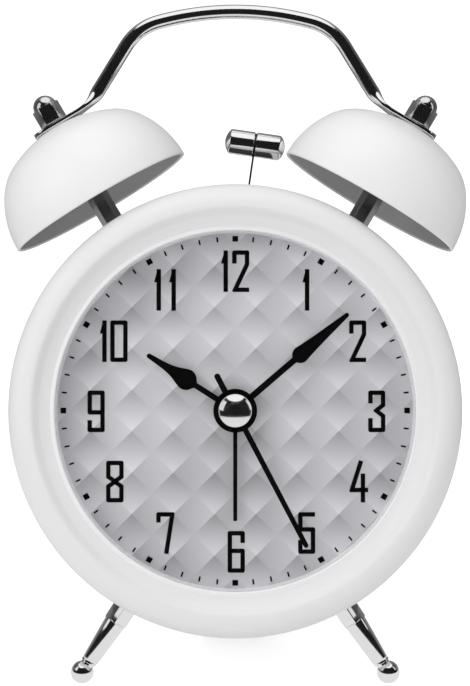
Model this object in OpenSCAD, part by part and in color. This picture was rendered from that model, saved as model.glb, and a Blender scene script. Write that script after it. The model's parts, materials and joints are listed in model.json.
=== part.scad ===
// Twin-bell quartz alarm clock, standing on two ball feet and a heel at the back.
// Each piece is drawn flat on its back: X right, Y up the dial, Z out of the dial,
// with the dial face at Z = 0. stand() then sets the whole clock up and leans it back.

/* [Stance] */
// Angle the dial leans back from upright
lean = 14; // [8:0.5:18]
// Place of each leg on the case, as an angle from straight down
leg_root_a = 28.9; // [25:0.1:35]
// Slope of each leg from straight down
leg_slope = 33.5; // [25:0.5:40]
// Leg from the case to its ball foot centre
leg_len = 24; // [20:0.1:28]
// Ball foot diameter
foot_d = 5.8; // [4:0.1:9]
// Leg plane behind the dial face
leg_back = 5; // [4.5:0.1:12]
// Round leg diameter next to its square block
leg_top_d = 5.1; // [3.6:0.1:8]
// Round leg diameter next to its ball foot
leg_low_d = 3.9; // [2.8:0.1:5]
// Diagonal of the square block on each leg
leg_block_w = 5.8; // [4.5:0.1:8]
// Ball foot centre to the end of the round part
leg_round_l = 15; // [10:0.5:16]
// Threaded stud diameter on legs and bell posts
stud_d = 3; // [2:0.1:3.6]
// Rubber heel pad height
pad_h = 1.5; // [1:0.1:3]
// Heel width
heel_w = 18; // [10:1:30]

/* [Case] */
// Case drum wall
case_wall = 0.8; // [0.6:0.1:2]
// Case edge in front of the dial face
case_front = 6; // [4:0.5:7]
// Case edge behind the dial face
case_back = 38; // [36:0.5:50]
// Back cover thickness
cover_t = 2.5; // [1.6:0.1:4]
// Depth of the cover's spigot inside the case
spigot_h = 4; // [2:0.5:8]

/* [Bezel] */
// Bezel outside diameter
bezel_d = 112.4; // [110:0.2:120]
// Bezel rim outside the case drum
bezel_overhang = 3.9; // [3:0.1:5]
// Bezel edge to the lens opening
bezel_band = 11; // [10.5:0.1:12]
// Bezel edge to the groove between the sloped band and the outer bead
groove_inset = 7; // [6.4:0.1:7.4]
// Groove wire diameter
groove_w = 1.5; // [0.6:0.1:2]
// Bezel crest in front of the dial face
bezel_front = 12.2; // [11:0.1:14]
// Outer bead radius
bead_r = 5.5; // [4:0.1:6]
// Bezel sheet
bezel_wall = 1.5; // [1:0.1:2]
// Skirt edge behind the dial face
skirt_back = 1.2; // [0:0.1:2]

/* [Front stack] */
// Lens thickness
lens_t = 1.6; // [1:0.1:2.5]
// Lens edge held under the bezel's lip
lens_lip = 2.2; // [1.5:0.1:3]
// Lens underside in front of the dial face
lens_back = 7; // [6.8:0.1:9]
// Foot of the white dial ring inside the bezel's opening
ring_step = 0.8; // [0.2:0.1:1.2]
// Gap round the dial plate inside the case
dial_gap = 1.2; // [0.8:0.1:2]
// Dial plate thickness
dial_t = 0.6; // [0.4:0.1:1.2]
// Chassis post diameter
chassis_post_d = 6; // [5:0.2:8]
// Chassis post axis in from the case wall
chassis_inset = 4.8; // [4.2:0.1:6]

/* [Bells] */
// Place of each bell post on the case, as an angle from upright
post_root_a = 33.3; // [28:0.1:38]
// Bell post from the case to the plane of the bell's rim
post_foot = 11.3; // [8:0.1:14]
// Bell axis slope from upright
bell_slope = 30.6; // [20:0.1:40]
// Bell plane behind the dial face
bell_back = 14; // [12:0.1:20]
// Bell rim diameter
bell_d = 49.4; // [40:0.2:52]
// Bell shoulder radius
shoulder_r = 14; // [10:0.1:18]
// Bell sheet
bell_wall = 1; // [0.6:0.1:1.6]
// Bell top land below the rounded crown
land_cut = 0.2; // [0.1:0.05:0.5]
// Bell post hexagon across corners
post_w = 5.8; // [4.6:0.1:8]
// Cap nut hexagon across corners
cap_nut_w = 7.5; // [6:0.1:10]
// Cap nut height
cap_nut_h = 7.8; // [6:0.1:10]
// Cap nut height up to the top of its hexagon
cap_hex_h = 5; // [4.6:0.1:5.6]

/* [Handle] */
// Handle rod diameter
handle_d = 3.66; // [2.6:0.02:5]
// Rod centre at the top of the handle, above the bell rims' centres
handle_rise = 48.8; // [44:0.1:56]
// Radius of the handle's top arc
handle_arc_r = 75; // [45:1:90]
// Half angle of the top arc
handle_arc_a = 18; // [16:0.5:25]
// Radius of the handle's shoulder bends
handle_bend_r = 6; // [4:0.5:9]
// Leg slope of the handle from upright
handle_slope = 31.5; // [25:0.5:40]
// Flattened tab thickness
tab_t = 1.3; // [0.8:0.1:2]
// Flattened tab width
tab_w = 7.2; // [5:0.1:9]
// Tab length beyond the nut's axis
tab_tail = 2.6; // [2:0.1:6]

/* [Hammer] */
// Hammer pivot in from the top of the case
pivot_inset = 19.3; // [18:0.1:21]
// Pivot to the middle of the hammer head
hammer_l = 35.4; // [32:0.1:38]
// Lean of the hammer at rest against the right bell's side
hammer_tilt = 8.2; // [6:0.1:9]
// Hammer head length
head_l = 15.4; // [12:0.1:15.6]
// Hammer head diameter
head_d = 6.4; // [4:0.1:8]
// Spring strip thickness
strip_t = 0.5; // [0.3:0.05:0.8]
// Spring strip depth
strip_w = 2.2; // [1.6:0.1:2.4]
// Crank axis above the hammer pivot
crank_rise = 8.3; // [8:0.1:9]

/* [Hands] */
// Hour hand length
hour_l = 26; // [22:0.1:30]
// Minute hand length
minute_l = 37.1; // [32:0.1:40]
// Second hand length
second_l = 38.3; // [32:0.1:41]
// Second hand tail
second_tail = 9.7; // [6:0.1:12]
// Alarm hand length
alarm_l = 27.5; // [20:0.1:32]
// Hour hand, clockwise from twelve
hour_at = 302.4; // [0:0.1:360]
// Minute hand, clockwise from twelve
minute_at = 49.4; // [0:0.1:360]
// Second hand, clockwise from twelve
second_at = 152.3; // [0:0.1:360]
// Alarm hand, clockwise from twelve
alarm_at = 180; // [0:0.1:360]
// Black hub diameter
hub_d = 10.9; // [9:0.1:13]
// Chrome hub cap diameter
hub_cap_d = 8.25; // [6:0.05:10]
// Hand sheet
hand_t = 0.4; // [0.3:0.05:0.6]

/* [Movement] */
// Movement width
movement_w = 60; // [56:1:64]
// Movement height
movement_h = 54; // [52:1:58]
// Movement housing wall
movement_wall = 1.4; // [1:0.1:2]
// Wheel thickness
wheel_t = 1; // [0.8:0.05:1.1]
// Free space between wheels
wheel_gap = 0.5; // [0.4:0.05:0.7]
// Motion work tooth module
motion_module = 0.5; // [0.4:0.05:0.5]
// Running train tooth module
train_module = 0.25; // [0.2:0.01:0.25]
// Setting knob diameter
knob_d = 12; // [9:0.5:14]
// Setting knob height
knob_h = 5; // [3:0.5:8]
// Setting shaft diameter
shaft_d = 2; // [1.6:0.1:3]

/* [Power] */
// Cell diameter
cell_d = 14.2; // [14:0.1:14.5]
// Cell length
cell_l = 50; // [49:0.1:50.5]
// Alarm switch travel
switch_travel = 4; // [2:0.5:6]

/* [Hidden] */
$fn = 72;

// Clearances: pieces that stay put, pieces that turn, pieces that pass each other
seat_gap = 0.02;
run_gap = 0.05;
free_gap = 0.3;
// Overshoot that keeps cuts clean
eps = 0.1;

bezel_r = bezel_d / 2;
opening_r = bezel_r - bezel_band;
groove_r = bezel_r - groove_inset;
case_r = bezel_r - bezel_overhang;
case_bore = case_r - case_wall;
lens_r = opening_r + lens_lip;
ring_r = opening_r - ring_step;
dial_r = case_bore - dial_gap;
chassis_post_r = case_bore - chassis_inset;
stud_r = stud_d / 2;
cover_back = case_back + cover_t;

// Leg and bell axes, each drawn from its place on the case
leg_axis = [sin(leg_slope), -cos(leg_slope)];
foot_at = case_r * [sin(leg_root_a), -cos(leg_root_a)] + leg_len * leg_axis;
bell_axis = [sin(bell_slope), cos(bell_slope)];
bell_at = case_r * [sin(post_root_a), cos(post_root_a)] + post_foot * bell_axis;
pivot_y = case_r - pivot_inset;

// Where the standing clock touches the table, and the middle of its depth
foot_low = foot_at.y * cos(lean) - leg_back * sin(lean) - foot_d / 2;
crest_r = bezel_r - bead_r;
front_reach = crest_r * sin(lean) + (bezel_front - bead_r) * cos(lean) + bead_r;
back_reach = case_r * sin(lean) + cover_back * cos(lean);
origin_y = (front_reach - back_reach) / 2;
origin_z = -foot_low;

// Heel block behind the case edge
heel_back = 6.5;
heel_front_y = -case_r + 6;

// Bell meridian: rim sphere, shoulder arc and crown arc, each tangent to the next
bell_r = bell_d / 2;
rim_angle = 35;
crown_angle = 63;
shoulder_c = (bell_r - shoulder_r) * [cos(rim_angle), sin(rim_angle)];
crown_k = shoulder_c.x / cos(crown_angle);
crown_r = shoulder_r + crown_k;
crown_c = [0, shoulder_c.y - crown_k * sin(crown_angle)];
bell_h = crown_c.y + crown_r - land_cut;
post_top = bell_h - bell_wall;
stud_in = 4.2;
nut_h = 2.4;
nut_w = 6.4;

// Handle path: top arc, shoulder bend, straight leg, flattened tab on the bell
tab_level = bell_h + tab_t / 2;
tab_at = bell_at + tab_level * bell_axis;
tab_dir = [cos(bell_slope), -sin(bell_slope)];
top_c = [0, bell_at.y + handle_rise - handle_arc_r];
arc_end = top_c + handle_arc_r * [sin(handle_arc_a), cos(handle_arc_a)];
bend_c = arc_end - handle_bend_r * [sin(handle_arc_a), cos(handle_arc_a)];
leg_from = bend_c + handle_bend_r * [cos(handle_slope), sin(handle_slope)];
leg_dir = [sin(handle_slope), -cos(handle_slope)];
// Length of the handle's leg down to the plane of its tab
leg_run = ((tab_at - leg_from) * bell_axis) / (leg_dir * bell_axis);
leg_end = leg_from + leg_run * leg_dir;
flat_l = 5;

// Hammer plane, with the bracket behind it
bracket_front = -17;
bracket_t = 1;
bracket_w = 28;
bracket_h = 34;
bracket_low = pivot_y - 19.7;
pin_r = 1;
rocker_t = 0.8;
crank_teeth = 24;
drive_teeth = 8;
drive_module = 0.4;
crank_throw = crank_rise * tan(hammer_tilt);
drive_angle = 200;
drive_c = (crank_teeth + drive_teeth) * drive_module / 2;
drive_at = [drive_c * cos(drive_angle), pivot_y + crank_rise + drive_c * sin(drive_angle)];
crank_pin_r = 0.6;
crank_z0 = bracket_front + 0.3;
crank_z1 = crank_z0 + 0.9;
motor_r = 7.5;
motor_l = 12;

// Wheel layers, counted from the front plate backwards
plate_t = 1.8;
front_plate_back = -dial_t - plate_t;
layer_pitch = wheel_t + wheel_gap;
middle_t = 0.8;
middle_w = 40;
middle_h = 34;
middle_low = -13.5;
function layer(k) = front_plate_back - wheel_gap - wheel_t - k * layer_pitch
    - (k > 2 ? middle_t + wheel_gap : 0);
middle_front = layer(2) - wheel_gap;
rear_in = layer(6) - wheel_gap - 0.2;
rear_out = bracket_front;
pivot_r = 0.4;
motion_pin_r = 0.8;

// Tubes on the dial axis, from the second hand's pin outwards
second_pin_r = 0.65;
tube_wall = 0.7;
minute_tube_r = second_pin_r + run_gap + tube_wall;
hour_tube_r = minute_tube_r + run_gap + tube_wall;
alarm_tube_r = hour_tube_r + run_gap + tube_wall;
bush_r = alarm_tube_r + run_gap + 0.9;
bush_front = 1.9;
dial_nut_h = 1.6;
dial_nut_w = 10.4;
// Underside of each hand in front of the dial
function hand_z(k) = bush_front + 0.2 + k * 0.8;

// Tooth counts of the motion work, the alarm work and the running train
cannon_t = 10;
motion_t = 30;
motion_pin_t = 8;
hour_t = 32;
set_t = 10;
alarm_t = 45;
alarm_pin_t = 15;
second_pin_t = 8;
third_t = 60;
third_pin_t = 8;
minute_t = 64;
second_t = 60;
step_pin_t = 8;
step_t = 40;
rotor_pin_t = 10;
tooth_fill = 0.8;
tooth_tip = 0.75;
tooth_root = 1.15;
pressure = 20;

// Wheel centres
knob_angle = 34;
motion_c = (cannon_t + motion_t) * motion_module / 2;
alarm_c = (alarm_t + alarm_pin_t) * motion_module / 2;
// The set shaft mirrors the alarm shaft, and the motion wheel sits between it and the axis
motion_angle = knob_angle - acos(alarm_c / 2 / motion_c);
motion_at = motion_c * [cos(motion_angle), sin(motion_angle)];
set_at = alarm_c * [cos(knob_angle), sin(knob_angle)];
alarm_shaft_at = [-set_at.x, set_at.y];
third_angle = 90;
third_c = (second_pin_t + third_t) * train_module / 2;
third_at = third_c * [cos(third_angle), sin(third_angle)];
minute_module = 2 * third_c / (third_pin_t + minute_t);
step_angle = 250;
step_c = (second_t + step_pin_t) * train_module / 2;
step_at = step_c * [cos(step_angle), sin(step_angle)];
rotor_angle = 200;
rotor_c = (step_t + rotor_pin_t) * train_module / 2;
rotor_at = step_at + rotor_c * [cos(rotor_angle), sin(rotor_angle)];
rotor_r = 3;
stator_gap = 0.35;
coil_y = -20.8;
core_h = 3;
stator_z0 = layer(4) - 0.3;
stator_t = 1.2;

// Turn of each wheel about its own axis that puts a tooth of one in a gap of the next
function mesh_turn(teeth_a, turn_a, toward, teeth_b) =
    toward + 180 + 180 / teeth_b - (turn_a - toward) * teeth_a / teeth_b;
motion_turn = mesh_turn(cannon_t, 0, motion_angle, motion_t);
set_toward = atan2(set_at.y - motion_at.y, set_at.x - motion_at.x);
set_turn = mesh_turn(motion_t, motion_turn, set_toward, set_t);
hour_turn = mesh_turn(motion_pin_t, motion_turn, motion_angle + 180, hour_t);
alarm_pin_turn = mesh_turn(alarm_t, 0, 180 - knob_angle, alarm_pin_t);
third_turn = mesh_turn(second_pin_t, 0, third_angle, third_t);
minute_turn = mesh_turn(third_pin_t, third_turn, third_angle + 180, minute_t);
step_turn = mesh_turn(second_t, 0, step_angle, step_pin_t);
rotor_turn = mesh_turn(step_t, step_turn, rotor_angle, rotor_pin_t);
drive_turn = mesh_turn(crank_teeth, 0, drive_angle, drive_teeth);

// Battery bay in the back cover
bay_wall = 1.2;
bay_w = cell_l + 3;
bay_h = 2 * cell_d + 2.2;
bay_top = -4;
bay_mid = bay_top - bay_h / 2;
bay_floor = -cover_back + cover_t + cell_d + 0.6;
door_t = 1.6;
door_ledge = 1.2;
contact_t = 0.5;
knob_gap = 0.5;
switch_at = [-26, 22];
switch_slot = [5, 3];

white = [0.93, 0.93, 0.93];
chrome = [0.78, 0.79, 0.8];
black = [0.05, 0.05, 0.05];
brass = [0.75, 0.6, 0.3];
nylon = [0.85, 0.85, 0.8];

// Sets the flat clock up on its feet
module stand() {
    translate([0, origin_y, origin_z])
        rotate([90 - lean, 0, 0])
            children();
}

// Puts a shape drawn on the table back into the flat clock
module on_table() {
    rotate([lean - 90, 0, 0])
        translate([0, -origin_y, -origin_z])
            children();
}

module rod(z0, z1, r) {
    translate([0, 0, z0])
        cylinder(h = z1 - z0, r = r);
}

module pipe(z0, z1, r_out, r_in) {
    difference() {
        rod(z0, z1, r_out);
        rod(z0 - eps, z1 + eps, r_in);
    }
}

module hex_bar(z0, z1, w) {
    translate([0, 0, z0])
        cylinder(h = z1 - z0, d = w, $fn = 6);
}

function involute(a) = tan(a) * 180 / PI - a;
function flank(rho, base_r, half) =
    half + involute(pressure) - involute(acos(min(1, base_r / max(rho, base_r))));

// Spur wheel of involute teeth, standing on z0
module wheel(teeth, size, z0, bore, turn = 0, t = wheel_t) {
    pitch_r = teeth * size / 2;
    base_r = pitch_r * cos(pressure);
    root_r = pitch_r - tooth_root * size;
    half = tooth_fill * 90 / teeth;
    radii = [root_r, max(base_r, root_r + 0.01 * size), pitch_r, pitch_r + tooth_tip * size];
    translate([0, 0, z0])
        rotate(turn)
            linear_extrude(t)
                difference() {
                    polygon([for (k = [0:teeth - 1], side = [-1, 1], n = [0:3])
                        let (rho = radii[side < 0 ? n : 3 - n],
                            a = k * 360 / teeth + side * flank(rho, base_r, half))
                        rho * [cos(a), sin(a)]]);
                    if (bore > 0)
                        circle(bore);
                }
}

// Outline on both sides of a hand's centre line, from [distance, half width] steps
module leaf(steps) {
    n = len(steps);
    polygon([for (k = [0:2 * n - 1])
        k < n ? [steps[k].y, steps[k].x] : [-steps[2 * n - 1 - k].y, steps[2 * n - 1 - k].x]]);
}

module hand(k, at, hub, bore) {
    translate([0, 0, hand_z(k)])
        linear_extrude(hand_t)
            difference() {
                union() {
                    rotate(-at)
                        children();
                    circle(hub);
                }
                circle(bore);
            }
}

// Points of an arc round c, from angle a0 to a1 in n steps
function arc(c, r, a0, a1, n) =
    [for (k = [0:n]) let (a = a0 + (a1 - a0) * k / n) c + r * [cos(a), sin(a)]];

// Ring profiles are drawn as [radius, distance in front of the dial]
module bezel_profile() {
    lens_front = lens_back + lens_t;
    band_top = bezel_front - 0.25;
    bead_c = [crest_r, bezel_front - bead_r];
    polygon(concat(
        [[opening_r, lens_front], [opening_r, lens_front + 0.8]],
        [[groove_r - groove_w / 2 - 0.4, band_top - 0.15], [groove_r - groove_w / 2, band_top]],
        arc([groove_r, band_top + 0.1], groove_w / 2, 190, 350, 8),
        arc(bead_c, bead_r, 96, 0, 16),
        [[bezel_r, -skirt_back], [case_r + run_gap, -skirt_back]],
        [[case_r + run_gap, bezel_wall - skirt_back], [bezel_r - bezel_wall, bezel_wall - skirt_back]],
        arc(bead_c, bead_r - bezel_wall, 0, 96, 12),
        [[groove_r - 0.6, bezel_front - 0.9 - bezel_wall], [lens_r + free_gap, lens_front]]));
}

module bezel() {
    color(white)
        rotate_extrude()
            bezel_profile();
}

module lens() {
    color([0.9, 0.95, 1, 0.3])
        rod(lens_back, lens_back + lens_t, lens_r);
}

// White ring between dial and lens, with the posts that carry the back cover
module dial_ring() {
    color(white)
        difference() {
            union() {
                rod(0, lens_back, lens_r);
                rod(0, 1.2, dial_r - 1);
                rod(case_front, lens_back, case_r - 0.1);
                rod(lens_back - eps, lens_back + lens_t - 0.3, lens_r + 1.1);
                for (a = [0, 180, 270])
                    rotate(a)
                        translate([chassis_post_r, 0, 0])
                            rod(-case_back, eps, chassis_post_d / 2);
            }
            translate([0, 0, -eps])
                cylinder(h = lens_back + 2 * eps, r1 = ring_r, r2 = opening_r);
            rod(lens_back, lens_back + lens_t, lens_r + run_gap);
            for (a = [0, 180, 270])
                rotate(a)
                    translate([chassis_post_r, 0, 0])
                        rod(-case_back - eps, -case_back + 10, 1.1);
        }
}

module dial() {
    color([0.7, 0.69, 0.73])
        difference() {
            rod(-dial_t, 0, dial_r);
            rod(-dial_t - eps, eps, bush_r + run_gap);
            for (a = [0, 180, 270])
                rotate(a)
                    translate([chassis_post_r, 0, 0])
                        rod(-dial_t - eps, eps, chassis_post_d / 2 + run_gap);
        }
}

// Line of a bell's axis, from its rim centre
module at_bell(side) {
    translate([side * bell_at.x, bell_at.y, -bell_back])
        rotate([-90, 0, -side * bell_slope])
            children();
}

module at_leg(side) {
    translate([side * foot_at.x, foot_at.y, -leg_back])
        rotate([-90, 0, side * leg_slope])
            children();
}

module case_drum() {
    slot_half = (case_r - pivot_y) * tan(hammer_tilt) + strip_t + 1;
    color(white)
        difference() {
            pipe(-case_back, case_front, case_r, case_bore);
            for (side = [-1, 1]) {
                at_bell(side)
                    rod(-post_foot - 3, -post_foot + 3, stud_r + run_gap);
                at_leg(side)
                    rod(leg_len - 3, leg_len + 3, stud_r + run_gap);
            }
            translate([-slot_half, case_bore - 3, -bell_back - strip_w / 2 - 1])
                cube([2 * slot_half, 6, strip_w + 2]);
        }
}

module cover_blank() {
    rod(-cover_back, -case_back, case_r);
    pipe(-case_back - eps, -case_back + spigot_h, case_bore - run_gap, case_bore - 1.5);
    translate([-bay_w / 2 - bay_wall, bay_mid - bay_h / 2 - bay_wall, -case_back - eps])
        cube([bay_w + 2 * bay_wall, bay_h + 2 * bay_wall, case_back + bay_floor + bay_wall + eps]);
    for (a = [0:45:135])
        rotate(a)
            translate([0, 0, -case_back])
                linear_extrude(2)
                    difference() {
                        square([2 * case_bore - 2, 1.2], center = true);
                        square([40, 2], center = true);
                    }
    intersection() {
        translate([-heel_w / 2, -case_r - 8, -cover_back - heel_back + cover_t])
            cube([heel_w, heel_front_y + case_r + 8, heel_back]);
        on_table()
            translate([-heel_w, -150, pad_h])
                cube([2 * heel_w, 300, 30]);
    }
}

module back_cover() {
    color(black)
        difference() {
            cover_blank();
            translate([-bay_w / 2, bay_mid - bay_h / 2, -cover_back - eps])
                cube([bay_w, bay_h, cover_back + bay_floor + eps]);
            translate([-bay_w / 2 - door_ledge, bay_mid - bay_h / 2 - door_ledge, -cover_back - eps])
                cube([bay_w + 2 * door_ledge, bay_h + 2 * door_ledge, door_t + eps]);
            for (at = [set_at, alarm_shaft_at])
                translate(at)
                    rod(-cover_back - eps, -case_back + 3, shaft_d / 2 + free_gap);
            for (a = [0, 180, 270])
                rotate(a)
                    translate([chassis_post_r, 0, 0]) {
                        rod(-cover_back - eps, -case_back + 3, 1.5);
                        rod(-case_back, -case_back + spigot_h + 1, chassis_post_d / 2 + free_gap);
                        rod(-cover_back - eps, -cover_back + 1.3, 3);
                    }
            translate([switch_at.x - switch_slot.x / 2 - free_gap,
                    switch_at.y - switch_slot.y / 2 - free_gap, -cover_back - eps])
                cube([switch_slot.x + switch_travel + 2 * free_gap, switch_slot.y + 2 * free_gap, 8]);
            translate([switch_at.x - 6, switch_at.y - 4, -case_back])
                cube([12 + switch_travel, 8, 4]);
            for (x = [-12:4:12])
                translate([x - 0.75, 24, -cover_back - eps])
                    cube([1.5, 14, 8]);
        }
}

module cover_screws() {
    color(chrome)
        for (a = [0, 180, 270])
            rotate(a)
                translate([chassis_post_r, 0, 0])
                    difference() {
                        union() {
                            rod(-cover_back + 0.1, -cover_back + 1.3, 2.7);
                            rod(-cover_back + 1.2, -case_back + 8, 1.05);
                        }
                        for (turn = [0, 90])
                            rotate(turn)
                                translate([-1.6, -0.25, -cover_back])
                                    cube([3.2, 0.5, 0.8]);
                    }
}

module heel_pad() {
    color([0.1, 0.1, 0.1])
        intersection() {
            translate([-heel_w / 2 + 1, -case_r - 9, -cover_back - heel_back + cover_t + 0.8])
                cube([heel_w - 2, 16, heel_back - 1.6]);
            on_table()
                translate([-heel_w, -150, 0])
                    cube([2 * heel_w, 300, pad_h]);
        }
}

// Meridian of a bell drawn in by inset, from the rim to a flat land at height top
function meridian(inset, top) = concat(
    arc([0, 0], bell_r - inset, 0, rim_angle, 10),
    arc(shoulder_c, shoulder_r - inset, rim_angle + 4, crown_angle, 6),
    arc(crown_c, crown_r - inset, crown_angle + 3, asin((top - crown_c.y) / (crown_r - inset)), 6));

function reversed(list) = [for (k = [len(list) - 1:-1:0]) list[k]];

module bell(side) {
    hole = stud_r + run_gap;
    color(white)
        at_bell(side)
            rotate_extrude()
                polygon(concat(meridian(0, bell_h), [[hole, bell_h], [hole, post_top]],
                    reversed(meridian(bell_wall, post_top))));
}

// Hexagon pillar from the case to the bell, with a stud at each end
module post(side) {
    color([0.45, 0.46, 0.48])
        difference() {
            at_bell(side) {
                hex_bar(-post_foot - 1, post_top, post_w);
                rod(-post_foot - stud_in, bell_h + tab_t + 4, stud_r);
            }
            difference() {
                rod(-case_back, case_front, case_r + seat_gap);
                at_bell(side)
                    rod(-post_foot - 10, -post_foot + 10, stud_r);
            }
        }
}

module lock_nut(z0) {
    difference() {
        hex_bar(z0, z0 + nut_h, nut_w);
        rod(z0 - eps, z0 + nut_h + eps, stud_r + seat_gap);
    }
}

module post_nuts() {
    color(brass)
        for (side = [-1, 1])
            at_bell(side)
                lock_nut(-post_foot - case_wall - 0.35 - nut_h);
}

module cap_nuts() {
    base = bell_h + tab_t;
    dome_r = cap_nut_w * 0.42;
    color(chrome)
        for (side = [-1, 1])
            at_bell(side)
                difference() {
                    union() {
                        hex_bar(base, base + cap_hex_h, cap_nut_w);
                        rod(base, base + cap_nut_h - dome_r, dome_r);
                        translate([0, 0, base + cap_nut_h - dome_r])
                            sphere(dome_r);
                    }
                    rod(base - eps, base + 4.4, stud_r + seat_gap);
                }
}

// Stations from the tip of the right tab to the top of the handle, each with its place,
// half thickness, half width and roundness, where 1 is round and less is flatter
function handle_stations() =
    let (thin = tab_t / 2 - seat_gap, wide = tab_w / 2, round = handle_d / 2,
        tip = tab_at + (tab_tail + wide) * tab_dir)
    concat(
        [for (d = [0.1, 0.5, 1.2, 2.2, 3.4])
            [tip - d * tab_dir, thin, sqrt(wide * wide - pow(max(0, wide - d), 2)), 0.35]],
        [[tab_at, thin, wide, 0.35], [tab_at - 0.8 * (tab_at - leg_end), thin, wide, 0.35]],
        [for (k = [0:4]) let (f = k / 4, g = f * f * (3 - 2 * f))
            [leg_end - f * flat_l * leg_dir, thin + g * (round - thin), wide + g * (round - wide),
                0.35 + 0.65 * g]],
        [for (at = arc(bend_c, handle_bend_r, handle_slope, 90 - handle_arc_a, 8)) [at, round, round, 1]],
        [for (k = [1:8]) let (a = handle_arc_a * (1 - k / 8))
            [top_c + handle_arc_r * [sin(a), cos(a)], round, round, 1]]);

function signed_pow(v, e) = sign(v) * pow(abs(v), e);

// Closed ring of a station, square to the path there
function handle_ring(stations, k, sides) =
    let (last = len(stations) - 1, way = stations[min(k + 1, last)][0] - stations[max(k - 1, 0)][0],
        across = [-way.y, way.x] / norm(way), st = stations[k])
    [for (j = [0:sides - 1]) let (t = 360 * j / sides, u = st[1] * signed_pow(cos(t), st[3]))
        [st[0].x + u * across.x, st[0].y + u * across.y, st[2] * signed_pow(sin(t), st[3]) - bell_back]];

// One rod swept from tab to tab, flattened at both ends and drilled for the studs
module handle() {
    sides = 20;
    right = handle_stations();
    path = concat(right, [for (k = [len(right) - 2:-1:0])
        [[-right[k][0].x, right[k][0].y], right[k][1], right[k][2], right[k][3]]]);
    n = len(path);
    color(chrome)
        difference() {
            polyhedron(
                points = [for (k = [0:n - 1]) each handle_ring(path, k, sides)],
                faces = concat(
                    [[for (j = [0:sides - 1]) j]],
                    [[for (j = [sides - 1:-1:0]) (n - 1) * sides + j]],
                    [for (k = [0:n - 2], j = [0:sides - 1]) let (i = (j + 1) % sides)
                        each [[k * sides + i, k * sides + j, (k + 1) * sides + j],
                            [k * sides + i, (k + 1) * sides + j, (k + 1) * sides + i]]]));
            for (side = [-1, 1])
                at_bell(side)
                    rod(bell_h - 2, bell_h + tab_t + 2, stud_r + run_gap);
        }
}

// Turned leg from its ball foot up to the stud in the case
module leg_turning() {
    neck_l = 3.8;
    sphere(d = foot_d);
    rod(0, neck_l + eps, leg_low_d / 2 - 0.25);
    rod(neck_l - 0.9, neck_l - 0.3, leg_low_d / 2 + 0.2);
    translate([0, 0, neck_l])
        cylinder(h = leg_round_l - neck_l, d1 = leg_low_d, d2 = leg_top_d);
    translate([0, 0, leg_round_l - eps])
        cylinder(h = leg_len - leg_round_l + 1, d = leg_block_w, $fn = 4);
    rod(leg_round_l, leg_len + stud_in, stud_r);
}

module leg(side) {
    color(chrome)
        difference() {
            at_leg(side)
                leg_turning();
            difference() {
                rod(-case_back, case_front, case_r + seat_gap);
                at_leg(side)
                    rod(leg_len - 10, leg_len + 10, stud_r);
            }
        }
}

module leg_nuts() {
    color(brass)
        for (side = [-1, 1])
            at_leg(side)
                lock_nut(leg_len + case_wall + 0.35);
}

module movement_block(z0, z1, inset) {
    translate([-movement_w / 2 + inset, -movement_h / 2 + inset, z0])
        cube([movement_w - 2 * inset, movement_h - 2 * inset, z1 - z0]);
}

module movement_front() {
    pillars = [[17, 17], [-17, 17], [17, -11], [-17, -11]];
    color(nylon)
        difference() {
            union() {
                movement_block(front_plate_back, -dial_t, 0);
                rod(-dial_t - eps, bush_front, bush_r);
                for (p = pillars)
                    translate(p)
                        rod(middle_front, front_plate_back + eps, 1.5);
            }
            rod(front_plate_back - eps, bush_front + eps, alarm_tube_r + run_gap);
            for (at = [set_at, alarm_shaft_at])
                translate(at)
                    rod(front_plate_back - eps, front_plate_back + 1, shaft_d / 2 + run_gap);
        }
}

module movement_middle() {
    color(nylon)
        difference() {
            union() {
                translate([-middle_w / 2, middle_low, middle_front - middle_t])
                    cube([middle_w, middle_h, middle_t]);
                translate(motion_at)
                    rod(middle_front - eps, layer(1) + wheel_t + 0.2, motion_pin_r);
            }
            rod(middle_front - middle_t - eps, middle_front + eps, minute_tube_r + run_gap);
            for (at = [set_at, alarm_shaft_at])
                translate(at)
                    rod(middle_front - middle_t - eps, middle_front + eps, shaft_d / 2 + run_gap);
            for (at = [third_at, step_at, rotor_at])
                translate(at)
                    rod(middle_front - middle_t - eps, middle_front + eps, pivot_r + run_gap);
        }
}

module movement_rear() {
    color(nylon)
        difference() {
            movement_block(rear_out, front_plate_back, 0);
            movement_block(rear_in, front_plate_back + eps, movement_wall);
            for (at = [set_at, alarm_shaft_at])
                translate(at)
                    rod(rear_out - eps, rear_in + eps, shaft_d / 2 + run_gap);
            for (at = [third_at, step_at, rotor_at])
                translate(at)
                    rod(rear_in - 0.9, rear_in + eps, pivot_r + run_gap);
            rod(rear_in - 0.9, rear_in + eps, second_pin_r + run_gap);
        }
}

module dial_nut() {
    color(brass)
        difference() {
            hex_bar(0, dial_nut_h, dial_nut_w);
            rod(-eps, dial_nut_h + eps, bush_r + seat_gap);
        }
}

module alarm_wheel() {
    color(nylon) {
        wheel(alarm_t, motion_module, layer(0), hour_tube_r + run_gap);
        pipe(layer(0), hand_z(0) + hand_t, alarm_tube_r, hour_tube_r + run_gap);
    }
}

module alarm_hand() {
    color(black)
        hand(0, alarm_at, hub_d / 2 - 1, alarm_tube_r + seat_gap)
            leaf([[0, 0.55], [alarm_l, 0.5]]);
}

module hour_wheel() {
    color(nylon) {
        wheel(hour_t, motion_module, layer(1), minute_tube_r + run_gap, hour_turn);
        pipe(layer(1), hand_z(1) + hand_t, hour_tube_r, minute_tube_r + run_gap);
    }
}

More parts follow.
